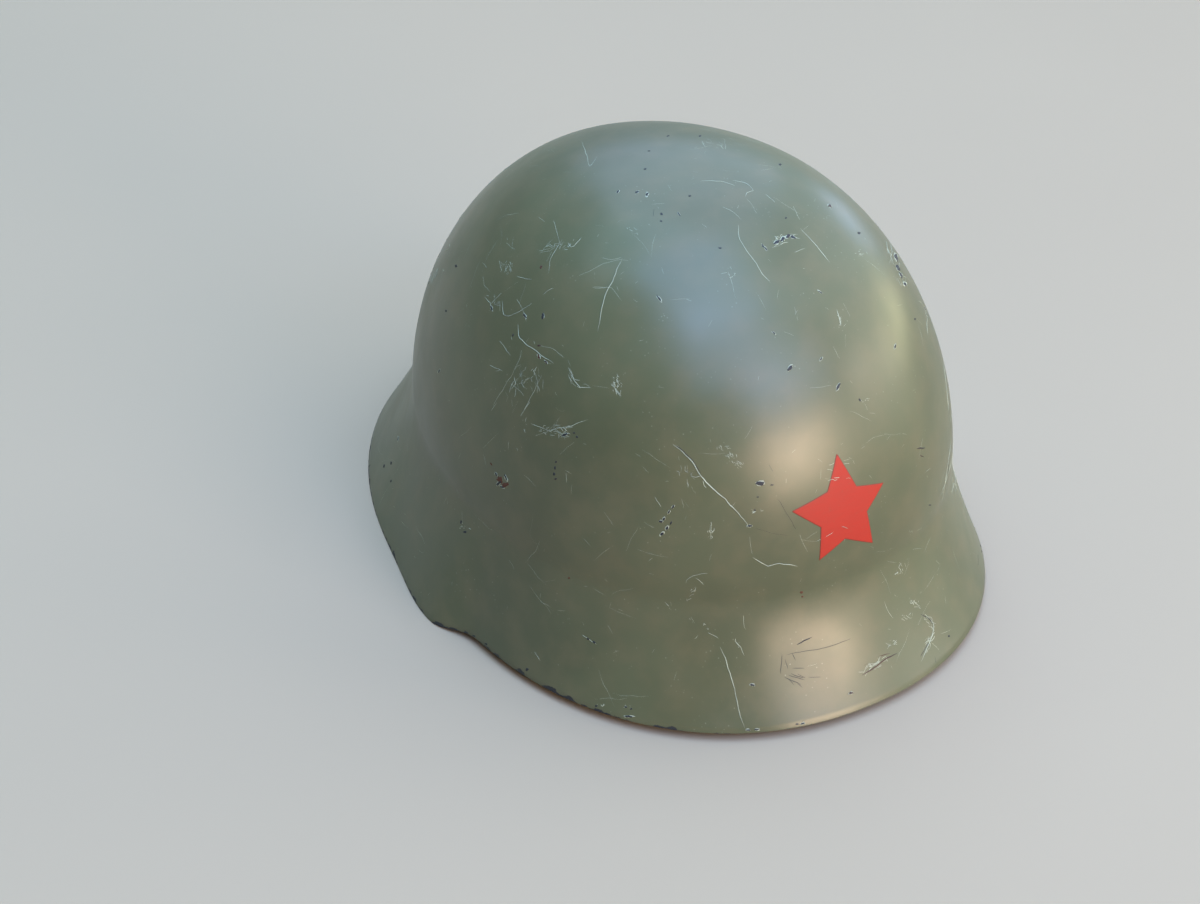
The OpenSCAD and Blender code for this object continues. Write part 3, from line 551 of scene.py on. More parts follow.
def press_threads(tree, made, curve, surface, sink, full_at, thinnest, weight=None):
    """Lays curves on a surface, sunk by a share of their width, as threads that taper to their ends."""
    nearest = add(tree, "GeometryNodeProximity", {"Geometry": surface}, target_element="FACES")
    out = add(
        tree, "GeometryNodeSampleNearestSurface",
        {"Mesh": surface, "Value": add(tree, "GeometryNodeInputNormal")}, data_type="FLOAT_VECTOR",
    )
    made.update(nearest=nearest, out=out, along=add(tree, "GeometryNodeSplineParameter"))
    add_steps(
        tree, made,
        ("sink", "MULTIPLY", "Width", -sink),
        ("sunk", "VECTOR_SCALE", "out", "sink"),
        ("lying", "VECTOR_ADD", "nearest", "sunk"),
        ("along", "MULTIPLY", "along", math.pi),
        ("full", "SINE", "along"),
        ("full", "RANGE", "full", 0.0, full_at, thinnest, 1.0),
        ("thick", "MULTIPLY", "Width", "full"),
    )
    if weight:
        made["weight"] = weight
        add_steps(tree, made, ("thick", "MULTIPLY", "thick", "weight"))
    laid = add(tree, "GeometryNodeSetPosition", {"Geometry": curve, "Position": made["lying"]})
    ring = add(tree, "GeometryNodeCurvePrimitiveCircle", {"Resolution": 5, "Radius": 0.5})
    thread = add(
        tree, "GeometryNodeCurveToMesh",
        {"Curve": laid, "Profile Curve": ring.outputs[0], "Scale": made["thick"], "Fill Caps": True},
    )
    return end_with_material(tree, made, thread)


def hairline_tree():
    """Short scratches scattered over a surface: thin threads sunk so that only a sliver shows."""
    tree, made = new_tree(
        "hairlines",
        ("Geometry", "Geometry", None), ("Density", "Float", 4000.0), ("Length", "Float", 0.009),
        ("Width", "Float", 0.0002), ("Clump", "Float", 16.0), ("Seed", "Int", 7),
        ("Material", "Material", None),
    )

    # Scratches come in clumps; most are short and a few are long
    made["draw"] = add(tree, "FunctionNodeRandomValue", {2: 0.0, 3: 1.0, "Seed": 3}, data_type="FLOAT")
    add_steps(
        tree, made,
        ("clump", "NOISE", None, "Clump", 2.0),
        ("clump", "RANGE", "clump", 0.42, 0.68, 0.06, 1.0),
        ("density", "MULTIPLY", "Density", "clump"),
        ("draw", "POWER", "draw", 3.0),
        ("share", "RANGE", "draw", 0.0, 1.0, 0.3, 3.2),
        ("reach", "MULTIPLY", "Length", "share"),

        # Each bends a little
        ("bend", "NOISE", None, 75.0, 1.0),
        ("bend", "VECTOR_SUBTRACT", "bend:1", (0.5, 0.5, 0.5)),
        ("bend", "VECTOR_SCALE", "bend", 0.005),
    )
    spots = add(
        tree, "GeometryNodeDistributePointsOnFaces",
        {"Mesh": made["Geometry"], "Density": made["density"], "Seed": made["Seed"]},
    )
    spin = add(
        tree, "FunctionNodeRandomValue", {2: 0.0, 3: FULL_TURN, "Seed": made["Seed"]}, data_type="FLOAT"
    )
    spin = add(tree, "FunctionNodeAxisAngleToRotation", {"Axis": (0.0, 0.0, 1.0), "Angle": spin})
    turned = add(
        tree, "FunctionNodeRotateRotation", {0: spots.outputs["Rotation"], 1: spin}, rotation_space="LOCAL"
    )
    line = add(tree, "GeometryNodeCurvePrimitiveLine", {"Start": (-0.5, 0.0, 0.0), "End": (0.5, 0.0, 0.0)})
    placed = add(
        tree, "GeometryNodeInstanceOnPoints",
        {"Points": spots, "Instance": line, "Rotation": turned, "Scale": made["reach"]},
    )
    real = add(tree, "GeometryNodeRealizeInstances", {"Geometry": placed})
    fine = add(tree, "GeometryNodeResampleCurve", {"Curve": real, "Count": 9})
    bent = add(tree, "GeometryNodeSetPosition", {"Geometry": fine, "Offset": made["bend"]})
    return press_threads(tree, made, bent, made["Geometry"], sink=0.25, full_at=1.0, thinnest=0.45)


def drawn_line_tree():
    """Scratches along drawn curves: each run is shaken, tapers at its ends and is sunk."""
    tree, made = new_tree(
        "drawn lines",
        ("Geometry", "Geometry", None), ("Surface", "Object", None), ("Width", "Float", 0.0002),
        ("Step", "Float", 0.0015), ("Material", "Material", None),
    )
    surface = add(tree, "GeometryNodeObjectInfo", {0: made["Surface"]}).outputs["Geometry"]
    fine = {"Curve": made["Geometry"], 3: made["Step"]}
    fine = add(tree, "GeometryNodeResampleCurve", fine, mode="LENGTH")
    add_steps(
        tree, made,
        ("jitter", "NOISE", None, 260.0, 2.0),
        ("jitter", "VECTOR_SUBTRACT", "jitter:1", (0.5, 0.5, 0.5)),
        ("jitter", "VECTOR_SCALE", "jitter", 0.0012),
    )
    shaken = add(tree, "GeometryNodeSetPosition", {"Geometry": fine, "Offset": made["jitter"]})
    weight = add(tree, "GeometryNodeInputNamedAttribute", {"Name": "radius"}, data_type="FLOAT")
    return press_threads(tree, made, shaken, surface, sink=0.2, full_at=0.5, thinnest=0.35, weight=weight)


def fastener_tree():
    """Sets a fastener on every vertex, with its shaft along the vertex's "outward" direction."""
    tree, made = new_tree(
        "fasteners",
        ("Geometry", "Geometry", None), ("Fastener", "Object", None), ("Spin", "Float", math.pi),
        ("Seed", "Int", 7), ("Material", "Material", None),
    )
    fastener = add(tree, "GeometryNodeObjectInfo", {0: made["Fastener"], 1: True})
    outward = add(tree, "GeometryNodeInputNamedAttribute", {"Name": "outward"}, data_type="FLOAT_VECTOR")
    facing = add(tree, "FunctionNodeAlignRotationToVector", {"Vector": outward}, axis="X")
    spin = add(
        tree, "FunctionNodeRandomValue", {2: 0.0, 3: made["Spin"], "Seed": made["Seed"]}, data_type="FLOAT"
    )
    spin = add(tree, "FunctionNodeAxisAngleToRotation", {"Axis": (1.0, 0.0, 0.0), "Angle": spin})
    facing = add(tree, "FunctionNodeRotateRotation", {0: facing, 1: spin}, rotation_space="LOCAL")
    placed = add(
        tree, "GeometryNodeInstanceOnPoints",
        {"Points": made["Geometry"], "Instance": fastener.outputs["Geometry"], "Rotation": facing},
    )
    return end_with_material(tree, made, placed)


def stitch_tree():
    """Stitches along drawn curves: one plump thread after another, half sunk in the leather."""
    tree, made = new_tree(
        "stitches",
        ("Geometry", "Geometry", None), ("Pitch", "Float", 0.004), ("Stitch length", "Float", 0.0032),
        ("Thread radius", "Float", 0.0004), ("Material", "Material", None),
    )
    spots = {"Curve": made["Geometry"], 3: made["Pitch"]}
    spots = add(tree, "GeometryNodeResampleCurve", spots, mode="LENGTH")
    line = add(tree, "GeometryNodeInputTangent")
    facing = add(tree, "FunctionNodeAlignRotationToVector", {"Vector": line}, axis="X")
    add_steps(
        tree, made,
        ("half", "MULTIPLY", "Stitch length", 0.5),
        ("size", "POINT", "half", "Thread radius", "Thread radius"),
    )
    bead = add(tree, "GeometryNodeMeshUVSphere", {"Segments": 6, "Rings": 5, "Radius": 1.0})
    lying = add(tree, "FunctionNodeAxisAngleToRotation", {"Axis": (0.0, 1.0, 0.0), "Angle": math.pi / 2})
    bead = add(tree, "GeometryNodeTransform", {"Geometry": bead.outputs[0], "Rotation": lying})
    bead = add(tree, "GeometryNodeSetShadeSmooth", {"Geometry": bead, "Shade Smooth": True})
    placed = add(
        tree, "GeometryNodeInstanceOnPoints",
        {"Points": spots, "Instance": bead, "Rotation": facing, "Scale": made["size"]},
    )
    return end_with_material(tree, made, placed)


# Pieces

def new_object(name, data):
    """An object in the scene that shows a mesh, a curve, a light or a camera."""
    item = bpy.data.objects.new(name, data)
    bpy.context.scene.collection.objects.link(item)
    return item


def new_piece(name, points, faces, materials=()):
    """A mesh object with its place in its mesh, from points in millimetres."""
    mesh = bpy.data.meshes.new(name)
    mesh.from_pydata([Vector(p) * MM for p in points], [], faces)
    mesh.update()
    for material in materials:
        mesh.materials.append(material)
    return new_object(name, mesh)


def curve_piece(name, runs, weights=None):
    """A curve object with one poly line for each run of points, in millimetres."""
    data = bpy.data.curves.new(name, "CURVE")
    data.dimensions = "3D"
    for k, run in enumerate(runs):
        line = data.splines.new("POLY")
        line.points.add(len(run) - 1)
        for spot, p in zip(line.points, run):
            spot.co = (*(Vector(p) * MM), 1.0)
            spot.radius = weights[k] if weights else 1.0
    return new_object(name, data)


def apply_modifiers(source):
    """Turns an object and its modifiers into a plain mesh object, and drops the source."""
    graph = bpy.context.evaluated_depsgraph_get()
    mesh = bpy.data.meshes.new_from_object(
        source.evaluated_get(graph), preserve_all_data_layers=True, depsgraph=graph
    )
    name = source.name
    bpy.data.objects.remove(source)
    mesh.name = name
    return new_object(name, mesh)


def grow(source, tree, values):
    """Runs a Geometry Nodes tree on an object and keeps the result as a plain mesh."""
    modifier = source.modifiers.new(tree.name, "NODES")
    modifier.node_group = tree
    for item in tree.interface.items_tree:
        if item.item_type == "SOCKET" and item.in_out == "INPUT" and item.name in values:
            modifier[item.identifier] = values[item.name]
    return apply_modifiers(source)


def round_edges(piece, width, limit=50):
    """Rounds the sharp edges of a piece, shades it smooth elsewhere, and applies both."""
    bevel = piece.modifiers.new("rounded edges", "BEVEL")
    bevel.width = width * MM
    bevel.segments = 2
    bevel.limit_method = "ANGLE"
    bevel.angle_limit = math.radians(limit)
    return shade_smooth(apply_modifiers(piece), limit)


def shade_smooth(piece, limit=180):
    """Shades a piece smooth, but for its edges sharper than a limit in degrees."""
    piece.data.shade_smooth()
    if limit < 180:
        piece.data.set_sharp_from_angle(angle=math.radians(limit))
    return piece


def face_outwards(piece):
    """Turns a closed piece's faces outwards."""
    work = bmesh.new()
    work.from_mesh(piece.data)
    bmesh.ops.recalc_face_normals(work, faces=work.faces)
    work.to_mesh(piece.data)
    work.free()


def thicken(piece, thickness, rim_offset=0):
    """Gives a sheet its thickness, in metres, on both sides of its middle."""
    wall = piece.modifiers.new("thickness", "SOLIDIFY")
    wall.thickness = thickness
    wall.offset = 0
    wall.use_even_offset = True
    wall.material_offset_rim = rim_offset
    return piece


def grid_faces(rows, columns, closed=False):
    """Faces of a grid of points that lie row after row."""
    faces = []
    for r in range(rows - 1):
        here, below = r * columns, (r + 1) * columns
        for c in range(columns if closed else columns - 1):
            n = (c + 1) % columns
            faces.append((here + c, here + n, below + n, below + c))
    return faces


def give_uv(piece, rows, columns, row_length, column_length):
    """A UV map in metres over an open grid of faces, for patterns that follow the sheet."""
    layer = piece.data.uv_layers.new(name="sheet").data
    corner = 0
    for r in range(rows - 1):
        for c in range(columns - 1):
            for dr, dc in ((0, 0), (0, 1), (1, 1), (1, 0)):
                along, across = (r + dr) / (rows - 1), (c + dc) / (columns - 1)
                layer[corner].uv = (row_length * along, column_length * across)
                corner += 1


def lathe(name, profile, steps=24):
    """A turned solid about the X axis, from (place, radius) pairs in millimetres."""
    points, faces = [], []
    inner = [p for p in profile if p[1] > 0]
    for x, r in inner:
        for k in range(steps):
            a = FULL_TURN * k / steps
            points.append((x, r * math.cos(a), r * math.sin(a)))
    for i in range(len(inner) - 1):
        for k in range(steps):
            n = (k + 1) % steps
            faces.append((i * steps + k, (i + 1) * steps + k, (i + 1) * steps + n, i * steps + n))
    for x, ring, flip in ((profile[0][0], 0, False), (profile[-1][0], len(inner) - 1, True)):
        points.append((x, 0, 0))
        middle = len(points) - 1
        for k in range(steps):
            n = (k + 1) % steps
            here, there = (n, k) if flip else (k, n)
            faces.append((middle, ring * steps + here, ring * steps + there))
    return shade_smooth(new_piece(name, points, faces), 50)


def dome(seat, top, radius, steps=6):
    """Profile pairs of a domed head that rises from its seat to its top."""
    turns = [math.pi / 2 * k / steps for k in range(steps)]
    return [(seat + (top - seat) * math.sin(a), radius * math.cos(a)) for a in turns] + [(top, 0)]


def finish_node(node, name, body, slot, material, edge):
    """A copy of a CAD node with its triangles merged and its sharp edges rounded by so many millimetres."""
    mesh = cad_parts[node].data.copy()
    mesh.name = name
    work = bmesh.new()
    work.from_mesh(mesh)
    bmesh.ops.remove_doubles(work, verts=work.verts, dist=0.002 * MM)
    bmesh.ops.dissolve_limit(work, angle_limit=math.radians(1.5), verts=work.verts, edges=work.edges)
    work.to_mesh(mesh)
    work.free()
    mesh.materials.clear()
    mesh.materials.append(material)
    for layer in list(mesh.uv_layers):
        mesh.uv_layers.remove(layer)
    return seat(round_edges(new_object(name, mesh), edge, 35), body, slot, node)


def seat(piece, body, slot, *nodes):
    """Puts a finished piece on its body in place of its CAD nodes, which it hides; the slot is not used."""
    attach(piece, body)
    if nodes:
        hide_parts(*nodes)
    return piece


def in_mm(group):
    """The values of a settings group, with its lengths in millimetres."""
    values = {key: getattr(group, key) for key in group.__annotations__}
    for key in values:
        if group.bl_rna.properties[key].unit == "LENGTH":
            values[key] /= MM
    return SimpleNamespace(**values)


# Outlines

def oval(turn, half_width, front, back):
    """Distance from the dome's axis to a rounded outline, at a turn from the front."""
    ahead = math.cos(turn)
    reach, n = (front, PLAN_FRONT_N) if ahead >= 0 else (back, PLAN_BACK_N)
    wide, deep = abs(math.sin(turn)) / half_width, abs(ahead) / reach
    return (wide**n + deep**n) ** (-1 / n)


def outline(shell, turn, inset=0):
    """Distance from the axis to the dome's outline at the waist, less an inset."""
    return oval(turn, shell.half_width - inset, shell.front - inset, shell.back - inset)


def axis_y(shell):
    """Where the dome's axis is, with the rim's box centred on the origin."""
    return (shell.front + shell.front_flare - shell.back - shell.nape_flare) / 2


def stand(shell, turn, r, z):
    """The point at a turn, a distance from the dome's axis and a height."""
    return Vector((r * math.sin(turn), axis_y(shell) - r * math.cos(turn), z))


def mix(a, b, share):
    """The value between a and b at a share of the way."""
    return a + (b - a) * share


def ease(t):
    """A smooth step from 0 to 1."""
    t = max(0, min(1, t))
    return t * t * (3 - 2 * t)


def on_shell(surface, shell, turn_degrees, height):
    """The shell's outside at a turn and a height, and where it faces, or nothing under its rim."""
    turn = math.radians(turn_degrees)
    start = stand(shell, turn, CLEAR_OF_SHELL, height) * MM
    inward = (stand(shell, turn, 0, height) * MM - start).normalized()
    spot, normal, _, _ = surface.ray_cast(start, inward)
    if spot is None or normal.dot(inward) > 0:
        return None, None
    return spot, normal


def shell_surface(piece):
    """A search tree over a piece's faces."""
    mesh = piece.data
    return BVHTree.FromPolygons([v.co for v in mesh.vertices], [p.vertices for p in mesh.polygons])


# Materials

def new_material(name):
    """A Principled material, its tree, and what its steps can ask for: first the piece's coordinates."""
    material = bpy.data.materials.new(name)
    material.use_nodes = True
    tree = material.node_tree
    return material, tree, {"place": add(tree, "ShaderNodeTexCoord").outputs["Object"]}


def tint(colour, share):
    """A colour made lighter or darker by a share."""
    return [min(1.0, c * share) for c in colour[:3]] + [1.0]


def shade(tree, made, inputs, *bumps):
    """Fills the shader's inputs, and stacks bumps on it: (height, depth in millimetres, strength)."""
    below = {}
    for height, depth, strength in bumps:
        values = {"Height": found(made, height), "Distance": depth * MM, "Strength": strength}
        below = {"Normal": add(tree, "ShaderNodeBump", {**values, **below})}
    values = {key: found(made, value) for key, value in inputs.items()}
    fill(tree, tree.nodes["Principled BSDF"], {**values, **below})


def sprayed_enamel(name, colour, finish, roughness, worn):
    """Alkyd enamel sprayed on pressed steel: an even olive with a soft gloss and faint orange peel.

    Dust has set in it, and handling has dulled it in clouds and bared the undercoat along the raw rim.
    """
    material, tree, made = new_material(name)
    made["from_rim"] = add(tree, "ShaderNodeAttribute", attribute_name="from_rim").outputs["Fac"]
    add_steps(
        tree, made,

        # Batches and fading: patches 70 mm across, and a finer mottle of 12 mm
        ("broad", "NOISE", "place", 14.0, 3.0),
        ("broad", "SMOOTH_RANGE", "broad", 0.35, 0.65),
        ("base", "MIX_COLOURS", "broad", tint(colour, 0.9), tint(colour, 1.08)),
        ("mottle", "NOISE", "place", 85.0, 4.0),
        ("mottle", "SMOOTH_RANGE", "mottle", 0.36, 0.78, 0.0, 0.35),
        ("base", "MIX_COLOURS", "mottle", "base", tint(linear("#6A6247"), 0.9)),

        # Dust and paint nibs half a millimetre across, in patches
        ("nibs", "CELLS", "place", 420.0),
        ("nibs", "RANGE", "nibs", 0.05, 0.14, worn * 0.28, 0.0),
        ("patches", "NOISE", "place", 60.0, 3.0),
        ("patches", "RANGE", "patches", 0.5, 0.62),
        ("nibs", "MULTIPLY", "nibs", "patches"),
        ("base", "MIX_COLOURS", "nibs", "base", list(finish.scored)),

        # The raw rim is rubbed to the undercoat over its last millimetre or two, most of all towards -X
        ("ragged", "NOISE", "place", 170.0, 4.0),
        ("ragged", "RANGE", "ragged", 0.35, 0.72, -0.0004, 0.0022),
        ("sides", "PARTS", "place"),
        ("clean", "RANGE", "sides:0", -0.09, -0.03, 0.0, 0.0019),
        ("ragged", "SUBTRACT", "ragged", "clean"),
        ("bare", "SUBTRACT", "ragged", "from_rim"),
        ("bare", "RANGE", "bare", -0.0001, 0.0001),
        ("base", "MIX_COLOURS", "bare", "base", list(finish.undercoat)),

        # Scuffs dull the gloss a little in places
        ("rub", "NOISE", "place", 30.0, 5.0),
        ("rub", "RANGE", "rub", 0.4, 0.7, 0.0, 0.1),
        ("dull", "ADD", "rub", roughness),
        ("dull", "MULTIPLY_ADD", "bare", 0.2, "dull"),

        # Orange peel of 2 mm over swells of 14 mm
        ("peel", "NOISE", "place", 480.0, 1.0),
        ("swell", "NOISE", "place", 70.0, 1.0),
    )
    shade(
        tree, made, {"Base Color": "base", "Roughness": "dull", "IOR": 1.5},
        ("swell", 0.05, 0.5), ("peel", 0.02, 0.35), ("bare", -0.06, 0.6),
    )
    return material


def red_enamel(finish):
    """Red enamel brushed through a stencil: flat colour, a faint drag of the brush, and painted shade along
    the film's raised edge.
    """
    material, tree, made = new_material("brushed_red_enamel")
    made["edge"] = add(tree, "ShaderNodeAttribute", attribute_name="to_edge").outputs["Fac"]
    add_steps(
        tree, made,
        ("drag", "MAPPING", "place", (0.0, 0.5, 0.0), (1.0, 1.0, 5.0)),
        ("drag", "NOISE", "drag", 150.0, 4.0),
        ("share", "RANGE", "drag", 0.3, 0.75),
        ("base", "MIX_COLOURS", "share", tint(finish.red, 0.95), tint(finish.red, 1.04)),
        ("grime", "NOISE", "place", 700.0, 3.0),
        ("grime", "RANGE", "grime", 0.6, 0.72, 0.0, 0.3),
        ("base", "MIX_COLOURS", "grime", "base", linear("#7A3524")),
        # Painted shade: the film's outermost rim is darkened to brown-black, as the shade along its raised
        # edge
        ("edge", "RANGE", "edge", 0.955, 0.99, 0.0, 0.75),
        ("base", "MIX_COLOURS", "edge", "base", linear("#4E2A1C")),
        ("dull", "RANGE", "drag", 0.0, 1.0, 0.52, 0.66),
    )
    shade(tree, made, {"Base Color": "base", "Roughness": "dull", "IOR": 1.45}, ("drag", 0.012, 0.25))
    return material


def scored_paint(finish):
    """Enamel bruised pale by a scratch: chalky, without gloss."""
    material, tree, made = new_material("scored_enamel")
    add_steps(
        tree, made,
        ("grains", "NOISE", "place", 160.0, 3.0),
        ("grains", "RANGE", "grains", 0.3, 0.7),
        ("base", "MIX_COLOURS", "grains", tint(finish.scored, 0.5), tint(finish.scored, 1.1)),
    )
    shade(tree, made, {"Base Color": "base", "Roughness": 0.6})
    return material


def bared_undercoat(finish):
    """What a chip bares: blue-black primer, with a trace of rust in places."""
    material, tree, made = new_material("bared_primer")
    add_steps(
        tree, made,
        ("spots", "NOISE", "place", 22.0, 3.0),
        ("spots", "RANGE", "spots", 0.6, 0.68, 0.0, 0.8),
        ("base", "MIX_COLOURS", "spots", list(finish.undercoat), list(finish.rust)),
        ("pits", "NOISE", "place", 2200.0, 2.0),
    )
    shade(tree, made, {"Base Color": "base", "Roughness": 0.7}, ("pits", 0.05, 0.6))
    return material


def rust_bloom(finish):
    """Where damp has got under the enamel: matt orange-brown iron rust."""
    material, tree, made = new_material("iron_rust")
    add_steps(
        tree, made,
        ("grains", "NOISE", "place", 900.0, 3.0),
        ("base", "MIX_COLOURS", "grains", tint(finish.rust, 0.6), tint(finish.rust, 1.5)),
    )
    shade(tree, made, {"Base Color": "base", "Roughness": 0.85}, ("grains", 0.06, 0.6))
    return material


def plated_steel(name, colour, metallic, roughness, grime):
    """Pressed steel with a thin finish on it: even metal, dulled in clouds and dark in its pores."""
    material, tree, made = new_material(name)
    add_steps(
        tree, made,
        ("clouds", "NOISE", "place", 90.0, 5.0, 0.6),
        ("share", "RANGE", "clouds", 0.35, 0.7),
        ("base", "MIX_COLOURS", "share", tint(colour, 1.1), tint(colour, 0.72)),
        ("pores", "NOISE", "place", 620.0, 4.0),
        ("stained", "RANGE", "pores", 0.56, 0.7, 0.0, grime),
        ("base", "MIX_COLOURS", "stained", "base", linear("#4A3A2A")),
        ("dull", "RANGE", "clouds", 0.0, 1.0, roughness - 0.08, roughness + 0.16),
        ("dull", "MULTIPLY_ADD", "stained", 0.3, "dull"),
    )
    shade(
        tree, made, {"Base Color": "base", "Roughness": "dull", "Metallic": metallic},
        ("clouds", 0.05, 0.2), ("pores", 0.02, 0.3),
    )
    return material


def tanned_leather(name, colour):
    """Vegetable-tanned cowhide, rolled smooth: pebbled grain and handling stains."""
    material, tree, made = new_material(name)
    add_steps(
        tree, made,
        ("stains", "NOISE", "place", 24.0, 5.0, 0.6),
        ("share", "RANGE", "stains", 0.3, 0.7),
        ("base", "MIX_COLOURS", "share", tint(colour, 0.62), tint(colour, 1.2)),

        # Grain cells of 1.1 mm, drawn coarser than the real 0.6 mm so that they show; the creases between
        # them are darkened as painted shade
        ("warp", "NOISE", "place", 300.0, 2.0),
        ("bent", "VECTOR_MULTIPLY_ADD", "warp:1", (0.0012,) * 3, "place"),
        ("grain", "CELL_EDGES", "bent", 900.0),
        ("grain", "RANGE", "grain", 0.0, 0.25),
        ("dark", "MULTIPLY_ADD", "grain", -0.35, 0.35),
        ("base", "MIX_COLOURS", "dark", "base", tint(colour, 0.3)),
        ("dull", "RANGE", "stains", 0.0, 1.0, 0.66, 0.44),
    )
    shade(
        tree, made, {"Base Color": "base", "Roughness": "dull", "IOR": 1.45},
        ("grain", 0.12, 0.5), ("stains", 0.4, 0.3),
    )
    return material


def cut_leather(finish):
    """The cut edge of leather: dark, fibrous and matt."""
    material, tree, made = new_material("cut_leather_edge")
    add_steps(
        tree, made,
        ("fibres", "NOISE", "place", 1400.0, 3.0),
        ("base", "MIX_COLOURS", "fibres", tint(finish.leather_edge, 0.7), tint(finish.leather_edge, 1.4)),
    )
    shade(tree, made, {"Base Color": "base", "Roughness": 0.8}, ("fibres", 0.1, 0.5))
    return material


def spun_fibre(name, colour, twist):
    """Twisted yarn: matt, with the plies and stray fibres showing as fine slanted lines, darkened as painted
    shade in the grooves between the plies.
    """
    material, tree, made = new_material(name)
    add_steps(
        tree, made,
        ("plies", "PLIES", "place", twist, 3.0, 2.0),
        # Painted shade: the grooves between the plies, where the bump dips, are darker
        ("base", "MIX_COLOURS", "plies:1", tint(colour, 0.68), tint(colour, 1.08)),
        ("grime", "NOISE", "place", 50.0, 3.0),
        ("grime", "RANGE", "grime", 0.45, 0.7, 0.0, 0.45),
        ("base", "MIX_COLOURS", "grime", "base", tint(colour, 0.5)),
    )
    shade(
        tree, made, {"Base Color": "base", "Roughness": 0.85, "Sheen Weight": 0.2}, ("plies:1", 0.15, 0.5)
    )
    return material


def woven_webbing(finish):
    """Cotton webbing in a herringbone weave: ribs along the strap that slant across one another.

    The yarns are 1.25 mm apart, drawn coarser than the real 0.6 mm so that they show.
    """
    yarn = 1.25 * MM
    material, tree, made = new_material("woven_cotton_webbing")
    made["sheet"] = add(tree, "ShaderNodeUVMap", uv_map="sheet")
    add_steps(
        tree, made,
        ("spot", "PARTS", "sheet"),
        ("across", "DIVIDE", "spot:1", yarn),
        ("along", "DIVIDE", "spot:0", yarn),
        ("zigzag", "PINGPONG", "across", 4.0),
        ("slant", "ADD", "along", "zigzag"),
        ("weft", "MULTIPLY", "slant", math.pi),
        ("weft", "SINE", "weft"),
        ("weft", "ABSOLUTE", "weft"),
        ("warp", "MULTIPLY", "across", math.pi),
        ("warp", "SINE", "warp"),
        ("warp", "ABSOLUTE", "warp"),
        # The weave's height bumps it and also paints it: darker in the valleys between yarns as painted
        # shade, lighter on the ridges as painted highlight
        ("height", "MULTIPLY", "weft", 0.7),
        ("height", "MULTIPLY_ADD", "warp", 0.45, "height"),
        ("base", "MIX_COLOURS", "height", tint(finish.webbing, 0.45), tint(finish.webbing, 1.15)),
        ("fading", "NOISE", "place", 60.0, 4.0),
        ("fading", "RANGE", "fading", 0.4, 0.7, 0.0, 0.4),
        ("base", "MIX_COLOURS", "fading", "base", linear("#8A8464")),
    )
    shade(
        tree, made, {"Base Color": "base", "Roughness": 0.88, "Sheen Weight": 0.25}, ("height", 0.35, 0.7)
    )
    return material


def moulded_rubber(finish):
    """Moulded natural rubber: matt black, with a grey bloom and a fine mould texture."""
    material, tree, made = new_material("moulded_rubber")
    add_steps(
        tree, made,
        ("bloom", "NOISE", "place", 130.0, 5.0),
        ("bloom", "RANGE", "bloom", 0.4, 0.75, 0.0, 0.35),
        ("base", "MIX_COLOURS", "bloom", list(finish.rubber), linear("#5A5853")),
        ("skin", "NOISE", "place", 1500.0, 1.0),
    )
    shade(tree, made, {"Base Color": "base", "Roughness": 0.72}, ("skin", 0.05, 0.4))
    return material


def studio_floor(finish):
    """A matt painted studio floor, pale and nearly even."""
    material, tree, made = new_material("painted_studio_floor")
    add_steps(
        tree, made,
        ("clouds", "NOISE", "place", 3.0, 3.0),
        ("base", "MIX_COLOURS", "clouds", tint(finish.floor, 0.97), tint(finish.floor, 1.03)),
    )
    shade(tree, made, {"Base Color": "base", "Roughness": 0.9, "Specular IOR Level": 0.1})
    return material


def all_materials(finish):
    """Every material, by the name that the pieces ask for."""
    return {
        "outside": sprayed_enamel("sprayed_olive_enamel", finish.olive, finish, 0.3, 1.0),
        "inside": sprayed_enamel("sprayed_inner_enamel", finish.inner_olive, finish, 0.46, 0.35),
        "red": red_enamel(finish),
        "scored": scored_paint(finish),
        "undercoat": bared_undercoat(finish),
        "rust": rust_bloom(finish),
        "zinc": plated_steel("zinc_plated_steel", finish.zinc, 1.0, 0.34, 0.5),
        "oxide": plated_steel("black_oxide_steel", finish.black_oxide, 0.85, 0.42, 0.35),
        "brass": plated_steel("turned_brass", finish.brass, 1.0, 0.3, 0.6),
        "leather": tanned_leather("vegetable_tanned_leather", finish.leather),
        "leather_edge": cut_leather(finish),
        "thread": spun_fibre("waxed_linen_thread", finish.thread, 260.0),
        "cotton": spun_fibre("braided_cotton_lace", finish.cotton, 180.0),
        "webbing": woven_webbing(finish),
        "rubber": moulded_rubber(finish),
        "floor": studio_floor(finish),
    }


# The shell, its star and its wear

def press_shell(sizes, materials):
    """The pressed shell, grown by Geometry Nodes from its sizes in metres."""
    shell = bpy.context.scene.helmet_shell
    values = {label: getattr(shell, key) for label, key in SHELL_INPUTS}
    values.update({
        "Thickness": shell.thickness, "Unevenness": shell.unevenness, "Columns": shell.columns,
        "Dome rows": shell.dome_rows, "Skirt rows": shell.skirt_rows,
        "Outside paint": materials.outside, "Inside paint": materials.inside,
    })
    piece = grow(new_piece("shell_press", [(0, 0, 0)], []), pressed_shell_tree(), values)
    piece.data.materials.pop(index=0)
    seat(round_edges(piece, 0.3), "helmet", "shell_paint", "shell")


# How a hand-cut stencil strays from a true star: a corner's turn, and its shifts in degrees and millimetres
STENCIL = (
    (0, -1, 2.2), (36, 0, 0), (72, 3, -1.6), (108, 0, 0), (144, 1.5, 1.1),
    (180, 2, 0.6), (216, -1.5, -0.6), (252, 3, 0.4), (288, -1, 1.5), (324, 4, 1.8),
)

# How deep the star's underside is sunk in the shell
STAR_SUNK = 0.05


def star_corners(star):
    """The star's five points and five inner corners, as turns and distances from its middle."""
    corners = []
    for k, (turn, shift, out) in enumerate(STENCIL):
        reach = star.radius * (star.waist if k % 2 else 1)
        corners.append((math.radians(turn + shift), reach + out))
    first_turn, first_reach = corners[0]
    return corners + [(first_turn + FULL_TURN, first_reach)]


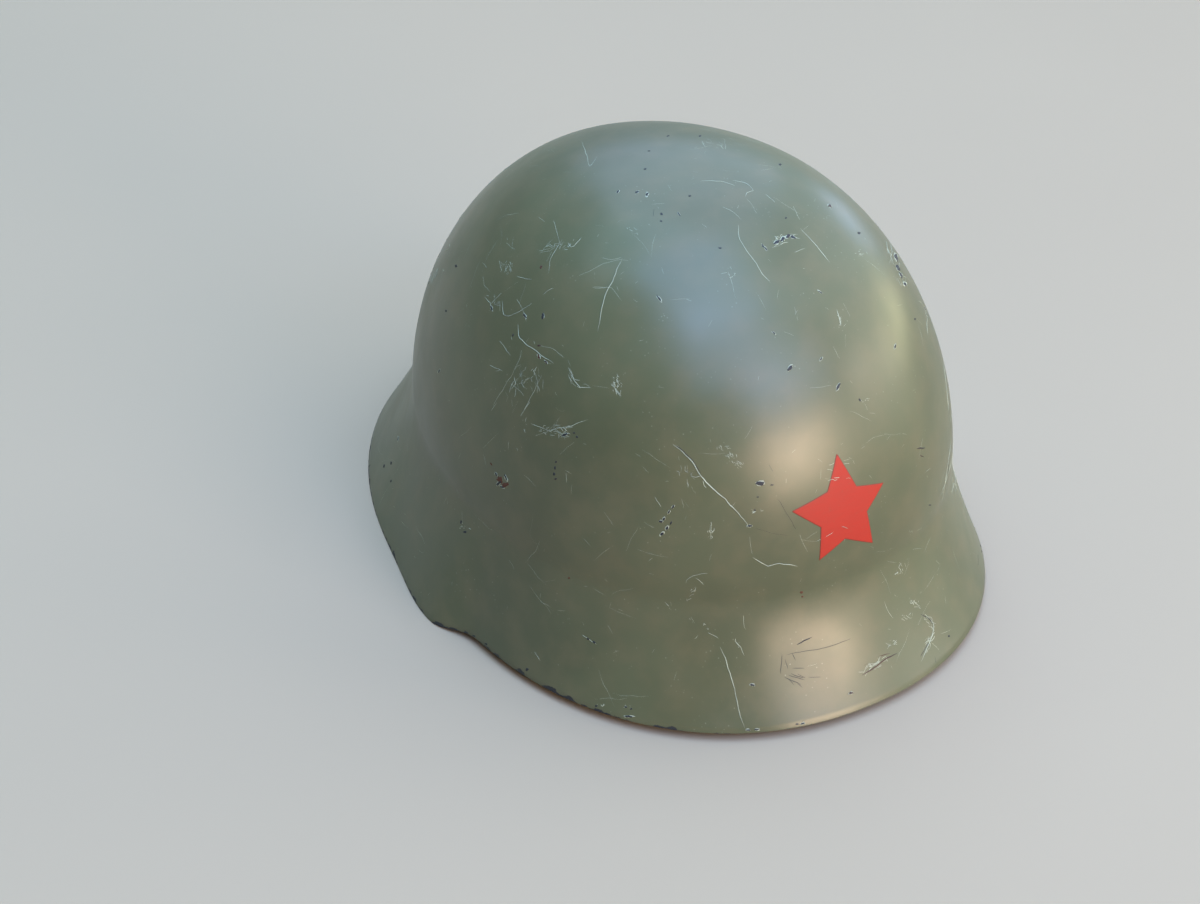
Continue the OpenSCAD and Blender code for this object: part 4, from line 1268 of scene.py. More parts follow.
def star_edge(corners, turn):
    """Distance from the star's middle to the straight edge between two of its corners."""
    turn = corners[0][0] + (turn - corners[0][0]) % FULL_TURN
    for (t0, r0), (t1, r1) in zip(corners, corners[1:]):
        if turn <= t1 + 1e-6:
            break
    return r0 * r1 * math.sin(t1 - t0) / (r0 * math.sin(turn - t0) + r1 * math.sin(t1 - turn))


def paint_star(sizes, materials):
    """The red star as a film of paint that follows the dome, with a thin rounded edge."""
    star = sizes.star
    surface = shell_surface(bpy.data.objects["shell_press"])
    corners = star_corners(star)
    columns, rings = 240, 14

    def on_front(x, z):
        """The shell's outside straight behind a place ahead of the helmet, and where it faces."""
        spot, normal, _, _ = surface.ray_cast(Vector((x, -CLEAR_OF_SHELL, z)) * MM, Vector((0, 1, 0)))
        return spot / MM, normal

    low, high = on_front(0, star.height - 1)[0], on_front(0, star.height + 1)[0]
    climb = (high - low).normalized().z

    def star_point(turn, share, lift):
        """A point at a share of the way from the star's middle to its edge, lifted off the shell."""
        r = star_edge(corners, turn) * share
        spot, normal = on_front(r * math.sin(turn), star.height + r * math.cos(turn) * climb)
        return spot + normal * lift

    # Rings from the middle out: the last three are the film's rounded edge and its sunk underside
    shares = [k / rings for k in range(1, rings)] + [0.985, 1.0, 1.0]
    lifts = [star.film] * rings + [0.6 * star.film, -STAR_SUNK]
    points = [star_point(0, 0, star.film)]
    for share, lift in zip(shares, lifts):
        points += [star_point(FULL_TURN * k / columns, share, lift) for k in range(columns)]
    points.append(star_point(0, 0, -STAR_SUNK))
    faces = [(0, 1 + k, 1 + (k + 1) % columns) for k in range(columns)]
    faces += [tuple(1 + i for i in face) for face in grid_faces(len(shares), columns, closed=True)]
    last = 1 + (len(shares) - 1) * columns
    faces += [(len(points) - 1, last + (k + 1) % columns, last + k) for k in range(columns)]
    piece = new_piece("painted_star_film", points, faces, [materials.red])
    across = [0.0] + [share for share in shares for _ in range(columns)] + [0.0]
    piece.data.attributes.new("to_edge", "FLOAT", "POINT").data.foreach_set("value", across)
    face_outwards(piece)
    seat(shade_smooth(piece, 40), "helmet", "star_paint", "painted_star")


# The photograph's view, in degrees and in millimetres in the part's frame
VIEW_AZIMUTH, VIEW_ELEVATION, VIEW_DISTANCE = -30.3, 36.1, 972.5
VIEW_TARGET = (-28.9, 0, 35.7)
VIEW_LENS, SENSOR_WIDTH = 71.67, 36

# Marks read off the photograph, as places in its 1200 x 904 frame. They are thrown on to the shell
# from the camera. A scratch has a weight and its points.
PALE_SCRATCHES = (
    (0.9, "581,140 585,151 590,167 599,154"), (0.7, "496,221 506,215 521,213"), (0.6, "537,216 546,223"),
    (0.5, "500,230 511,220 519,215"), (0.9, "553,218 557,232 560,243 555,251 550,261 548,277"),
    (0.7, "539,253 549,251 557,246"), (1.1, "568,242 572,248 582,237"), (0.7, "505,242 516,250"),
    (0.8, "499,259 502,273"), (0.8, "503,275 509,263 512,273"), (1.3, "517,276 524,279 532,279"),
    (0.4, "525,234 526,250 525,267"), (1.2, "484,297 491,304 502,293"), (0.5, "502,293 521,280"),
    (1.4, "502,300 503,314 507,317 521,311 532,303"), (0.8, "516,297 523,310 527,323"),
    (1.0, "542,296 547,291 555,288"), (0.4, "568,289 612,288"), (0.7, "574,278 588,272 602,264 628,258"),
    (1.3, "622,259 617,269 613,281 606,293 602,308 600,318 598,332"), (0.7, "591,289 612,288 623,303"),
    (1.5, "518,324 519,338 527,345 539,353 554,364"), (0.9, "499,340 511,357"),
    (0.7, "538,345 553,348 566,360"), (0.8, "523,344 519,361 513,373 502,391 490,410"),
    (1.0, "489,365 503,371"), (0.9, "543,373 533,393 521,417"), (1.3, "570,368 574,380 580,387 592,388"),
    (0.8, "637,341 645,339"), (0.5, "538,363 539,383"), (0.6, "521,368 522,385 529,391"),
    (0.5, "592,225 607,226"), (1.1, "700,181 722,181 736,186"),
    (1.1, "732,180 746,183 754,190 747,192 746,197"), (0.6, "746,197 754,208 758,216"),
    (0.5, "760,181 771,188"), (0.9, "764,193 776,203"),
    (1.2, "738,224 739,238 746,250 754,261 762,273 771,283"), (0.6, "792,204 797,214 801,222"),
    (1.3, "800,228 813,242 822,253 830,263"), (0.9, "793,253 806,248"), (0.9, "794,305 796,316"),
    (0.9, "798,309 794,316"), (0.4, "762,316 780,326 797,337"), (1.4, "837,310 840,322 841,326"),
    (0.6, "841,300 852,320"), (0.6, "803,389 834,385"), (0.5, "846,330 845,351"),
    (0.6, "799,268 808,269"), (0.5, "718,170 744,173"), (0.7, "718,137 724,139 726,151"),
    (0.8, "490,412 498,401"), (0.9, "520,417 531,400"), (0.9, "528,422 548,431 570,426 591,418"),
    (0.6, "531,437 548,432 564,412"), (0.7, "509,439 508,451"), (0.5, "534,509 530,534 534,542 546,548"),
    (0.8, "566,471 567,485"), (0.6, "462,509 462,527"), (0.5, "542,582 558,579"),
    (0.9, "654,495 662,509"), (0.9, "648,562 654,557"), (1.0, "534,651 541,662"),
    (0.9, "581,634 590,640 598,645"), (0.5, "665,602 670,609"),
    (1.9, "673,445 684,453 693,463 700,475 711,487 722,497 736,511 749,525"),
    (0.5, "682,497 690,509 694,522"), (0.7, "711,522 710,542"), (0.5, "679,474 698,469"),
    (0.5, "743,492 744,503"), (0.6, "749,534 752,557"), (1.4, "752,557 767,566 780,564 798,566"),
    (0.6, "798,532 804,545 809,554"), (0.6, "798,539 816,542 824,537"),
    (0.9, "824,538 835,531 844,526 849,529"), (0.9, "847,526 844,543"),
    (1.0, "686,584 687,579 695,575 710,573"), (0.9, "695,577 705,586"), (0.5, "692,566 694,575"),
    (0.6, "713,551 708,564"), (0.9, "664,601 671,609"), (1.4, "691,617 695,623"),
    (1.3, "702,625 707,631"), (0.9, "707,632 719,639"), (0.8, "694,640 699,634"),
    (0.8, "743,614 744,626 746,631"), (1.2, "734,641 740,646 745,656"),
    (1.5, "720,647 726,661 730,673 735,689 738,709 744,728"), (0.6, "766,584 766,587"),
    (0.8, "907,518 908,523"), (1.0, "902,562 898,567 902,571 899,575"), (0.8, "884,601 888,611 894,619"),
    (1.1, "912,600 916,604 921,607"), (1.0, "905,615 911,619"),
    (1.5, "921,614 929,619 934,625 933,633 927,648 921,662"), (0.5, "873,552 884,551 896,547"),
    (0.5, "880,585 889,576"), (0.6, "838,446 846,441"), (0.9, "549,674 553,680"),
    (0.8, "715,689 714,693"), (0.8, "718,690 717,695"), (0.7, "571,679 568,682"),
    (0.5, "500,222 502,236 499,252"), (0.8, "507,236 508,241"), (0.8, "482,262 487,268"),
    (0.6, "468,292 474,276 482,256"), (0.6, "483,272 484,286 492,293"), (0.6, "553,249 549,258 545,264"),
    (0.7, "537,251 545,250 556,246"), (0.7, "600,257 612,260 624,257"), (0.6, "594,269 595,278"),
    (0.7, "590,288 597,287 606,288"), (0.8, "616,284 619,293"), (0.8, "500,300 500,313"),
    (0.8, "511,334 512,342"), (0.8, "517,334 516,341"), (0.7, "533,338 535,348"),
    (0.7, "494,372 502,370"), (0.8, "535,371 538,383 537,395"), (0.8, "543,376 543,392"),
    (0.7, "509,383 518,389 526,397"), (0.9, "566,367 571,367"), (0.7, "581,384 587,384 592,390"),
    (0.8, "612,380 615,388 618,397"), (0.7, "596,240 600,232"), (0.6, "544,241 546,240"),
    (0.7, "578,296 581,297"), (0.6, "617,298 621,304"), (0.5, "519,398 514,409 510,416"),
    (0.5, "515,423 514,431"), (0.5, "553,405 561,412 568,410"), (0.6, "576,440 567,448 558,456"),
    (0.6, "640,409 646,415"), (1.0, "658,418 659,423"), (0.7, "662,436 667,430"),
    (0.7, "676,478 678,472"), (0.7, "676,547 678,552"), (0.6, "603,509 608,517 615,528"),
    (0.6, "642,520 650,526 657,529"), (0.5, "557,532 549,538"), (0.6, "507,558 513,565 515,572"),
    (0.5, "445,552 451,558"), (0.7, "720,205 732,212 744,221"), (0.6, "700,222 708,229"),
    (0.5, "743,204 750,210"), (0.5, "826,239 832,247"), (0.9, "858,255 865,254"),
    (0.4, "818,262 815,272 813,283"), (0.7, "824,306 831,311"), (0.6, "835,268 842,268"),
    (0.7, "733,271 736,279"), (0.5, "744,271 751,269"), (0.6, "766,257 773,265"),
    (0.5, "806,221 813,220"), (0.6, "781,330 790,334 797,337"), (0.5, "680,308 685,316"),
    (0.5, "690,252 696,259"),
)
DARK_SCRATCHES = (
    (0.8, "782,654 781,674"), (0.7, "784,655 794,653 828,647 853,638"), (0.7, "785,658 788,670"),
    (0.7, "791,668 806,668"), (0.9, "792,653 796,660"), (0.8, "784,677 793,681 801,685"),
    (0.8, "788,675 805,680"), (0.8, "791,673 799,677 806,677"), (0.7, "797,673 806,678"),
    (0.7, "788,678 795,686"), (0.6, "807,677 822,677"), (0.7, "796,683 803,688"),
    (1.4, "797,645 804,641 812,637"), (0.4, "751,526 770,533 793,536"), (0.5, "776,496 786,513 798,532"),
    (0.5, "654,207 653,219"), (0.6, "978,553 978,567"), (1.5, "862,675 873,669 886,658 897,653"),
    (1.2, "864,666 868,663"), (1.0, "878,656 890,653"), (0.8, "932,638 926,647 920,658"),
    (1.7, "917,449 925,448"), (1.4, "920,455 924,457"), (0.8, "646,624 649,631"),
    (1.0, "649,573 655,571"), (1.2, "935,657 936,663"), (1.1, "921,614 929,619 934,626"),
    (0.5, "768,463 774,474"), (0.7, "674,444 685,452 694,462 702,475"),
)

# Scuffs and chips: place, length and width in the frame, and lean in degrees, then a scuff's count of lines
SCUFFS = (
    (726, 451, 16, 9, -42, 20), (737, 461, 14, 9, -42, 16), (617, 383, 14, 8, -70, 14),
    (711, 532, 20, 7, -85, 10), (690, 594, 16, 6, 50, 12), (693, 620, 8, 4, -55, 6),
    (705, 628, 9, 4, -55, 6), (737, 643, 10, 4, -45, 6), (916, 603, 12, 7, -40, 12),
    (908, 617, 12, 6, 15, 10), (929, 622, 16, 7, -55, 16), (928, 643, 22, 5, 65, 12),
    (892, 644, 12, 7, 10, 10), (876, 664, 36, 6, 35, 18), (901, 569, 14, 7, 75, 8),
    (912, 533, 6, 6, 90, 5), (862, 253, 8, 5, -30, 8), (839, 318, 14, 4, -75, 8), (731, 276, 10, 5, 0, 7),
    (866, 401, 10, 4, 0, 8), (506, 267, 13, 13, 75, 10), (525, 380, 14, 18, 80, 8),
    (600, 705, 10, 4, 0, 7), (464, 527, 9, 12, -60, 9), (896, 265, 40, 8, -70, 16),
    (713, 143, 22, 8, -20, 10), (545, 432, 16, 6, -20, 8), (757, 512, 14, 4, 0, 6),
    (524, 425, 14, 5, 90, 6), (632, 231, 14, 8, -25, 6), (784, 240, 26, 9, 22, 18),
    (629, 707, 10, 4, 0, 8), (616, 388, 18, 7, -75, 18), (556, 430, 26, 12, -5, 22),
    (573, 379, 22, 5, -60, 12), (556, 246, 22, 6, 15, 10), (508, 268, 12, 10, 70, 12),
    (493, 300, 16, 7, -40, 10), (536, 380, 22, 8, 88, 14), (517, 383, 40, 12, 70, 14),
    (858, 253, 8, 8, -30, 8), (570, 245, 14, 6, 40, 10), (690, 478, 30, 14, -50, 12),
    (838, 470, 24, 20, 0, 8),
)
CHIPS = (
    (790, 368, 9, 3.5, 50), (838, 387, 9, 3.5, 65), (760, 483.5, 12, 5, 5), (772, 485, 4, 1.5, 0),
    (777, 242, 8, 4, 25), (783, 239, 7, 4, 50), (788, 236, 6, 3.5, 40), (793, 237, 7, 3, -25),
    (763, 246, 6, 2, -55), (766, 249, 5, 2, -60), (749.5, 526, 6, 2.4, 0), (752.5, 685, 6, 2.6, -10),
    (851, 693, 5, 2.6, 15), (673, 507, 5, 2, 60), (669, 512, 5, 2, 60), (664, 519, 5, 2.6, 50),
    (661, 521.5, 5, 2.6, 0), (671, 523, 4, 2, 70), (667, 528, 5, 3, 60), (662, 534, 6, 3, 45),
    (556, 462, 3, 2, 80), (555, 468, 3.5, 2, 90), (554, 474, 3.5, 2.6, 90), (555.6, 479, 3, 2, 0),
    (565, 434.6, 8, 2.6, 15), (574, 433, 3, 2, 0), (577, 437, 3, 2, -50), (541, 267, 4.5, 2.6, 55),
    (491.6, 308, 7, 2, -75), (525, 316, 6, 2.6, -60), (543, 316, 7, 3, 80), (539, 357, 6, 3, -60),
    (546, 362, 5, 2, -45), (539, 345.5, 4, 2, 0), (456, 266, 3, 3, 0), (446, 311, 2.6, 2, 90),
    (439, 371, 5, 1.6, 70), (513, 335, 4, 1.6, 80), (618, 191.5, 5, 2, 45), (637, 192, 5, 2, 15),
    (647, 194.5, 5, 3, 70), (645, 169, 3, 2, 0), (661.6, 214, 3, 3, 0), (661, 221, 3, 2, 0),
    (659, 298.5, 9, 2.6, -55), (668, 136, 4, 1.5, 20), (649, 151, 4, 1.2, 0), (679, 214, 5, 1.6, -55),
    (690, 196, 3, 2, 0), (720, 248, 4, 1.6, 0), (700, 136, 3, 1.6, 0), (780, 164.5, 3, 2, 0),
    (786, 218, 2.6, 2, 0), (859, 233, 3.6, 3, 0), (820, 292, 6, 1.6, -35), (774, 333, 5, 1.6, -40),
    (895, 347, 6, 1.8, 75), (830, 206, 5, 3, -30), (915, 319, 2.6, 2.6, 0), (821, 359, 5, 2, 60),
    (860, 400, 4, 2, -50), (893, 246, 9, 4, -70), (896, 257, 10, 4, -70), (898, 268, 9, 3, -65),
    (901, 275, 7, 2.6, -65), (905, 284, 5, 3, -65), (398, 438.6, 6, 1.6, 80), (391, 463, 4, 2, 80),
    (384, 466, 4, 1.6, 70), (391, 481, 3, 1.6, 80), (461, 522, 4, 2, 80), (465, 532, 4, 3, 0),
    (588, 639, 4, 2, -40), (594, 642, 4, 2, -35), (527, 669.5, 4, 3.6, 0), (500, 657, 8, 4, -35),
    (508, 663, 9, 4, -38), (474, 636, 5, 2, -30), (480, 641, 4, 2, -35), (486, 644, 4, 2, -30),
    (629, 716.5, 11, 2.2, 0), (626, 707, 3, 2, 0), (631, 709, 3, 2, 0), (596, 706, 3, 2.6, 0),
    (748, 730, 5, 2, 0), (757, 729.5, 6, 2, 0), (797, 724, 4, 2, 10), (803, 723.5, 5, 2, 10),
    (949, 636, 2.6, 2.6, 0), (930, 505, 3, 1.6, 0), (758, 497, 3, 1.6, 0), (755, 510, 3, 1.6, -20),
    (496, 474, 5, 2, -60), (506, 478, 8, 2, -65), (499, 483, 8, 3, 40), (502, 487, 6, 2, -20),
)
RUST_SPOTS = (
    (801.5, 592.5, 4, 3, -20), (802.5, 596.5, 2.6, 2, 0), (569, 578, 3, 2, 0), (500, 480, 9, 7, -60),
    (505, 485, 8, 5, 20), (491, 464, 4, 1.6, -60), (894, 250, 12, 5, -70),
)
FRAME_MIDDLE = (600, 452)
FRAME_WIDTH = 1200

# Marks are laid from a height over the shell's surface, and reach down through it, in millimetres
LIFT = 15
REACH_DOWN = 25

# Above this cosine between the shell's direction and the camera's, the photograph's own marks hold
SEEN = 0.15

# The pale edge round a chip, in the photograph's frame and in millimetres elsewhere
PHOTO_RIM = 0.9
AWAY_RIM = 0.4

# How far the flakes stand on the paint, in millimetres
EDGE_LIFT = 0.05
CORE_LIFT = 0.08
RUST_LIFT = 0.065


def direction(azimuth, elevation):
    """The direction from the helmet towards an azimuth and an elevation, in degrees."""
    a, e = math.radians(azimuth), math.radians(elevation)
    return Vector((math.sin(a) * math.cos(e), -math.cos(a) * math.cos(e), math.sin(e)))


def camera_axes():
    """Where the camera stands, in metres, and its axes."""
    back = direction(VIEW_AZIMUTH, VIEW_ELEVATION)
    return (Vector(VIEW_TARGET) + back * VIEW_DISTANCE) * MM, back.to_track_quat("Z", "Y").to_matrix()


def thrower(surface):
    """A function that throws a place in the photograph's frame on to a surface."""
    start, axes = camera_axes()
    focal = VIEW_LENS / SENSOR_WIDTH * FRAME_WIDTH
    middle_x, middle_y = FRAME_MIDDLE

    def place(x, y):
        aim = (axes @ Vector((x - middle_x, middle_y - y, -focal))).normalized()
        spot, normal, _, _ = surface.ray_cast(start, aim)
        if spot is None or normal.dot(aim) > 0:
            return None, None
        return spot, normal
    return place


def lay_out(surface, centre, normal):
    """A function that gives places in millimetres round a point on a surface."""
    up = Vector((0, 0, 1)) if abs(normal.z) < 0.95 else Vector((0, -1, 0))
    across = up.cross(normal).normalized()
    above = normal.cross(across)

    def place(x, y):
        start = centre + (across * x - above * y + normal * LIFT) * MM
        spot, own, _, _ = surface.ray_cast(start, -normal, REACH_DOWN * MM)
        if spot is None or own.dot(normal) < 0:
            return None, None
        return spot, own
    return place


def leant(x, y, along, side, lean):
    """A place at a distance along and beside a leaning line through x, y."""
    a = math.radians(lean)
    return x + along * math.cos(a) - side * math.sin(a), y - along * math.sin(a) - side * math.cos(a)


def blot(place, x, y, length, width, lean, lift, draw):
    """Points and faces of a ragged flake that lies on the shell, or nothing off its edge."""
    sides = 12
    rings = ((1.0, -0.02), (0.9, 0.7 * lift), (0.55, lift))
    ragged = [draw.uniform(0.62, 1.15) for _ in range(sides)]
    spots = [(0, 0, lift), (0, 0, -0.15)]
    for share, rise in rings:
        for k in range(sides):
            a = FULL_TURN * k / sides
            r = ragged[k] * share / 2
            spots.append((length * r * math.cos(a), width * r * math.sin(a), rise))
    points = []
    for along, side, rise in spots:
        spot, normal = place(*leant(x, y, along, side, lean))
        if spot is None:
            return [], []
        points.append((spot + normal * rise * MM) / MM)
    inner = 2 + 2 * sides
    faces = [(0, inner + k, inner + (k + 1) % sides) for k in range(sides)]
    faces += [tuple(2 + i for i in face) for face in grid_faces(3, sides, closed=True)]
    faces += [(1, 2 + (k + 1) % sides, 2 + k) for k in range(sides)]
    return points, faces


def gather(parts):
    """Joins lists of points and faces into one."""
    points, faces = [], []
    for more_points, more_faces in parts:
        faces += [tuple(len(points) + i for i in face) for face in more_faces]
        points += more_points
    return points, faces


def scuff(place, x, y, length, width, lean, count, draw):
    """Short crossing lines within a leaning patch."""
    runs = []
    for _ in range(count):
        along, side = draw.uniform(-0.5, 0.5) * length, draw.uniform(-0.5, 0.5) * width
        reach, swing = draw.uniform(0.12, 0.4) * length, lean + draw.gauss(0, 28)
        here = leant(x, y, along, side, lean)
        run = [leant(*here, reach * t, draw.gauss(0, 0.04) * length, swing) for t in (-0.5, 0, 0.5)]
        runs.append([place(*spot)[0] for spot in run])
    return runs


def away_marks(surface, shell, wear, draw):
    """Scratches, scuffs and chips like the photographed ones, where its camera doesn't see."""
    camera, _ = camera_axes()
    pale, dark, fine, chips = [], [], [], []
    spread = 7
    for _ in range(wear.clusters):
        centre, normal = on_shell(surface, shell, draw.uniform(-180, 180), draw.uniform(10, 165) ** 0.98)
        if centre is None or normal.dot((camera - centre).normalized()) > SEEN:
            continue
        place = lay_out(surface, centre, normal)
        for _ in range(draw.randint(2, 5)):
            x, y, lean = draw.gauss(0, spread), draw.gauss(0, spread), draw.uniform(0, 180)
            reach, bow = draw.uniform(3, 14) * draw.choice((0.5, 1, 2)), draw.gauss(0, 0.12)
            arc = [(reach * t, reach * bow * (1 - 4 * t * t)) for t in (-0.5, -0.2, 0.1, 0.5)]
            run = [place(*leant(x, y, *spot, lean))[0] for spot in arc]
            (pale if draw.random() < 0.85 else dark).append((draw.uniform(0.5, 1.4), run))
        if draw.random() < 0.5:
            lines = scuff(place, draw.gauss(0, 6), draw.gauss(0, 6), 6, 3, draw.uniform(0, 180), 9, draw)
            fine += [(1.0, run) for run in lines]
        for _ in range(draw.randint(0, 3)):
            size, x, y = draw.uniform(0.8, 3.2), draw.gauss(0, spread), draw.gauss(0, spread)
            chips.append((place, x, y, size, size * draw.uniform(0.3, 0.6), draw.uniform(0, 180)))
    return pale, dark, fine, chips


def draw_lines(name, lines, surface, width, material, step=1.5):
    """Weighted runs of points as thin threads pressed into the paint, in steps of so many millimetres."""
    lines = [(weight, run) for weight, run in lines if None not in run]
    runs = [[spot / MM for spot in run] for _, run in lines]
    values = {"Surface": surface, "Width": width * MM, "Step": step * MM, "Material": material}
    weights = [weight for weight, _ in lines]
    seat(grow(curve_piece(name, runs, weights), drawn_line_tree(), values), "helmet", "shell_paint")


def wear_paint(sizes, materials):
    """Scratches and chips: the photographed ones, and others like them over the rest of the shell."""
    wear, shell = sizes.wear, sizes.shell
    outside = new_piece("hairline_scratches", [], [])
    press = bpy.data.objects["shell_press"].data
    painted = list(press.materials).index(materials.outside)
    work = bmesh.new()
    work.from_mesh(press)
    bmesh.ops.delete(work, geom=[f for f in work.faces if f.material_index != painted], context="FACES")
    work.to_mesh(outside.data)
    whole = new_piece("painted_surface", [], [])
    work.from_mesh(bpy.data.objects["painted_star_film"].data)
    work.to_mesh(whole.data)
    work.free()
    surface = shell_surface(whole)
    place = thrower(surface)
    draw = random.Random(wear.seed)
    lines = grow(outside, hairline_tree(), {
        "Density": wear.hairlines, "Length": wear.hairline_length * MM,
        "Width": wear.hairline_width * MM, "Seed": wear.seed, "Material": materials.scored,
    })
    seat(lines, "helmet", "shell_paint")

    pale, dark, fine, chips = away_marks(surface, shell, wear, draw)
    for lines, drawn, heavier in ((pale, PALE_SCRATCHES, 1), (dark, DARK_SCRATCHES, 1.4)):
        for weight, run in drawn:
            spots = [tuple(float(n) for n in spot.split(",")) for spot in run.split()]
            lines.append((heavier * weight, [place(*spot)[0] for spot in spots]))
    for patch in SCUFFS:
        fine += [(draw.uniform(0.5, 1.1), run) for run in scuff(place, *patch, draw)]
    draw_lines("pale_scratches", pale, whole, wear.scratch_width, materials.scored)
    draw_lines("deep_scratches", dark, whole, wear.scratch_width, materials.undercoat)
    draw_lines("scuffs", fine, whole, wear.scratch_width, materials.scored, 0.4)
    bpy.data.objects.remove(whole)

    # Chips: a pale bruised edge under a dark middle
    chips += [(place, *chip) for chip in CHIPS]
    edges, cores = [], []
    for on, x, y, length, width, lean in chips:
        rim = PHOTO_RIM if on is place else AWAY_RIM
        if length > 5 * rim:
            edges.append(blot(on, x, y, length + rim, width + rim, lean, EDGE_LIFT, draw))
        cores.append(blot(on, x, y, length, width, lean, CORE_LIFT, draw))
    specks = [blot(place, *chip, RUST_LIFT, draw) for chip in RUST_SPOTS]
    camera, _ = camera_axes()
    for _ in range(wear.rim_chips):
        turn, size = draw.uniform(-180, 180), draw.uniform(0.6, 2.4)
        low = shell.front_rim if abs(turn) < math.degrees(shell.ear_angle) else 0
        spot, normal = on_shell(surface, shell, turn, low + draw.uniform(0.9, 1.8))
        if spot is None or normal.dot((camera - spot).normalized()) > SEEN:
            continue
        on = lay_out(surface, spot, normal)
        cores.append(blot(on, 0, 0, size, size * draw.uniform(0.3, 0.7), 0, CORE_LIFT, draw))
    for name, parts, material in (
        ("chip_edges", edges, materials.scored), ("paint_chips", cores, materials.undercoat),
        ("rust_specks", specks, materials.rust),
    ):
        piece = new_piece(name, *gather(parts), [material])
        face_outwards(piece)
        seat(shade_smooth(piece), "helmet", "shell_paint")


# The liner

SCREW_TURNS = [math.radians(a) for a in (-135, -45, 45, 135)]
RIVET_TURNS = [FULL_TURN * (k + 0.5) / 16 for k in range(16)]
SPLICE_TURNS = [math.radians(a) for a in (155, 160)]
TONGUES = 8
TONGUE_TURNS = [FULL_TURN * (k + 0.5) / TONGUES for k in range(TONGUES)]

# Heights of the fasteners as shares of the band's width, and the splice rivets above the screws
SCREW_SHARE = 0.65
RIVET_SHARE = 0.25
SPLICE_RISE = 1.5

# Fastener sizes: places are measured from the band's outer face, outwards
SCREW_SHAFT = 1.9
SCREW_END = 7.1
SCREW_SEAT = -1.36
SCREW_RIM = -2.3
SCREW_TOP = -3.3
SCREW_HEAD = 3.5
RIVET_SHAFT = 1.4
RIVET_HEAD_HEIGHT = 0.9

# Gaps between layers of the liner, and how far the flap's top stays under the screws' heads
LAYER_GAP = 0.1
TONGUE_GAP = 0.3
FLAP_CLEAR = 1

# How far the seams' middles are sunk in the leather
SUNK_THREAD = 0.05

# The knot at the back of the lace, and its two tails
KNOT_REACH = 1.5
KNOT_RADIUS = 1.6
KNOT_WRAPS = 2.2
TAIL_RADIUS = 9
TAIL_DROP = 3.5


def band_spots(shell, liner, turns, z):
    """Points on the band's outer face, with the direction in which it faces."""
    inset = shell.thickness + liner.band_gap
    beside = 0.01
    spots = []
    for turn in turns:
        here, left, right = (
            stand(shell, a, outline(shell, a, inset), z) for a in (turn, turn + beside, turn - beside)
        )
        along = left - right
        spots.append((here, Vector((along.y, -along.x, 0)).normalized()))
    return spots


def set_fasteners(name, fastener, spots, spin, material):
    """Copies of a fastener at spots, by Geometry Nodes, and the fastener itself is dropped."""
    source = new_piece(name, [spot for spot, _ in spots], [])
    outward = source.data.attributes.new("outward", "FLOAT_VECTOR", "POINT")
    for value, (_, facing) in zip(outward.data, spots):
        value.vector = facing
    done = grow(source, fastener_tree(), {"Fastener": fastener, "Spin": spin, "Material": material})
    bpy.data.objects.remove(fastener)
    return done


def slotted_screw():
    """A pan-head screw with a driver slot, its head towards the wearer."""
    profile = dome(SCREW_RIM, SCREW_TOP, SCREW_HEAD - 0.05)[:0:-1]
    profile += [(SCREW_RIM, SCREW_HEAD), (SCREW_SEAT, SCREW_HEAD), (SCREW_SEAT, SCREW_SHAFT)]
    screw = lathe("slotted_screw", [*profile, (SCREW_END, SCREW_SHAFT)])
    blade = new_piece(
        "screw_slot",
        [(x, y, z) for x in (-4, -2.5) for y in (-5, 5) for z in (-0.5, 0.5)],
        [(0, 1, 3, 2), (4, 6, 7, 5), (0, 4, 5, 1), (2, 3, 7, 6), (0, 2, 6, 4), (1, 5, 7, 3)],
    )
    face_outwards(screw)
    face_outwards(blade)
    cut = screw.modifiers.new("slot", "BOOLEAN")
    cut.operation = "DIFFERENCE"
    cut.object = blade
    done = apply_modifiers(screw)
    bpy.data.objects.remove(blade)
    return round_edges(done, 0.15)


def domed_rivet(name, shaft, start, end, start_head, end_head, height):
    """A rivet with a domed head at each end."""
    profile = dome(start, start - height, start_head)[::-1]
    profile += [(start, shaft), (end, shaft)]
    profile += dome(end, end + height, end_head)
    piece = lathe(name, profile, 20)
    face_outwards(piece)
    return piece


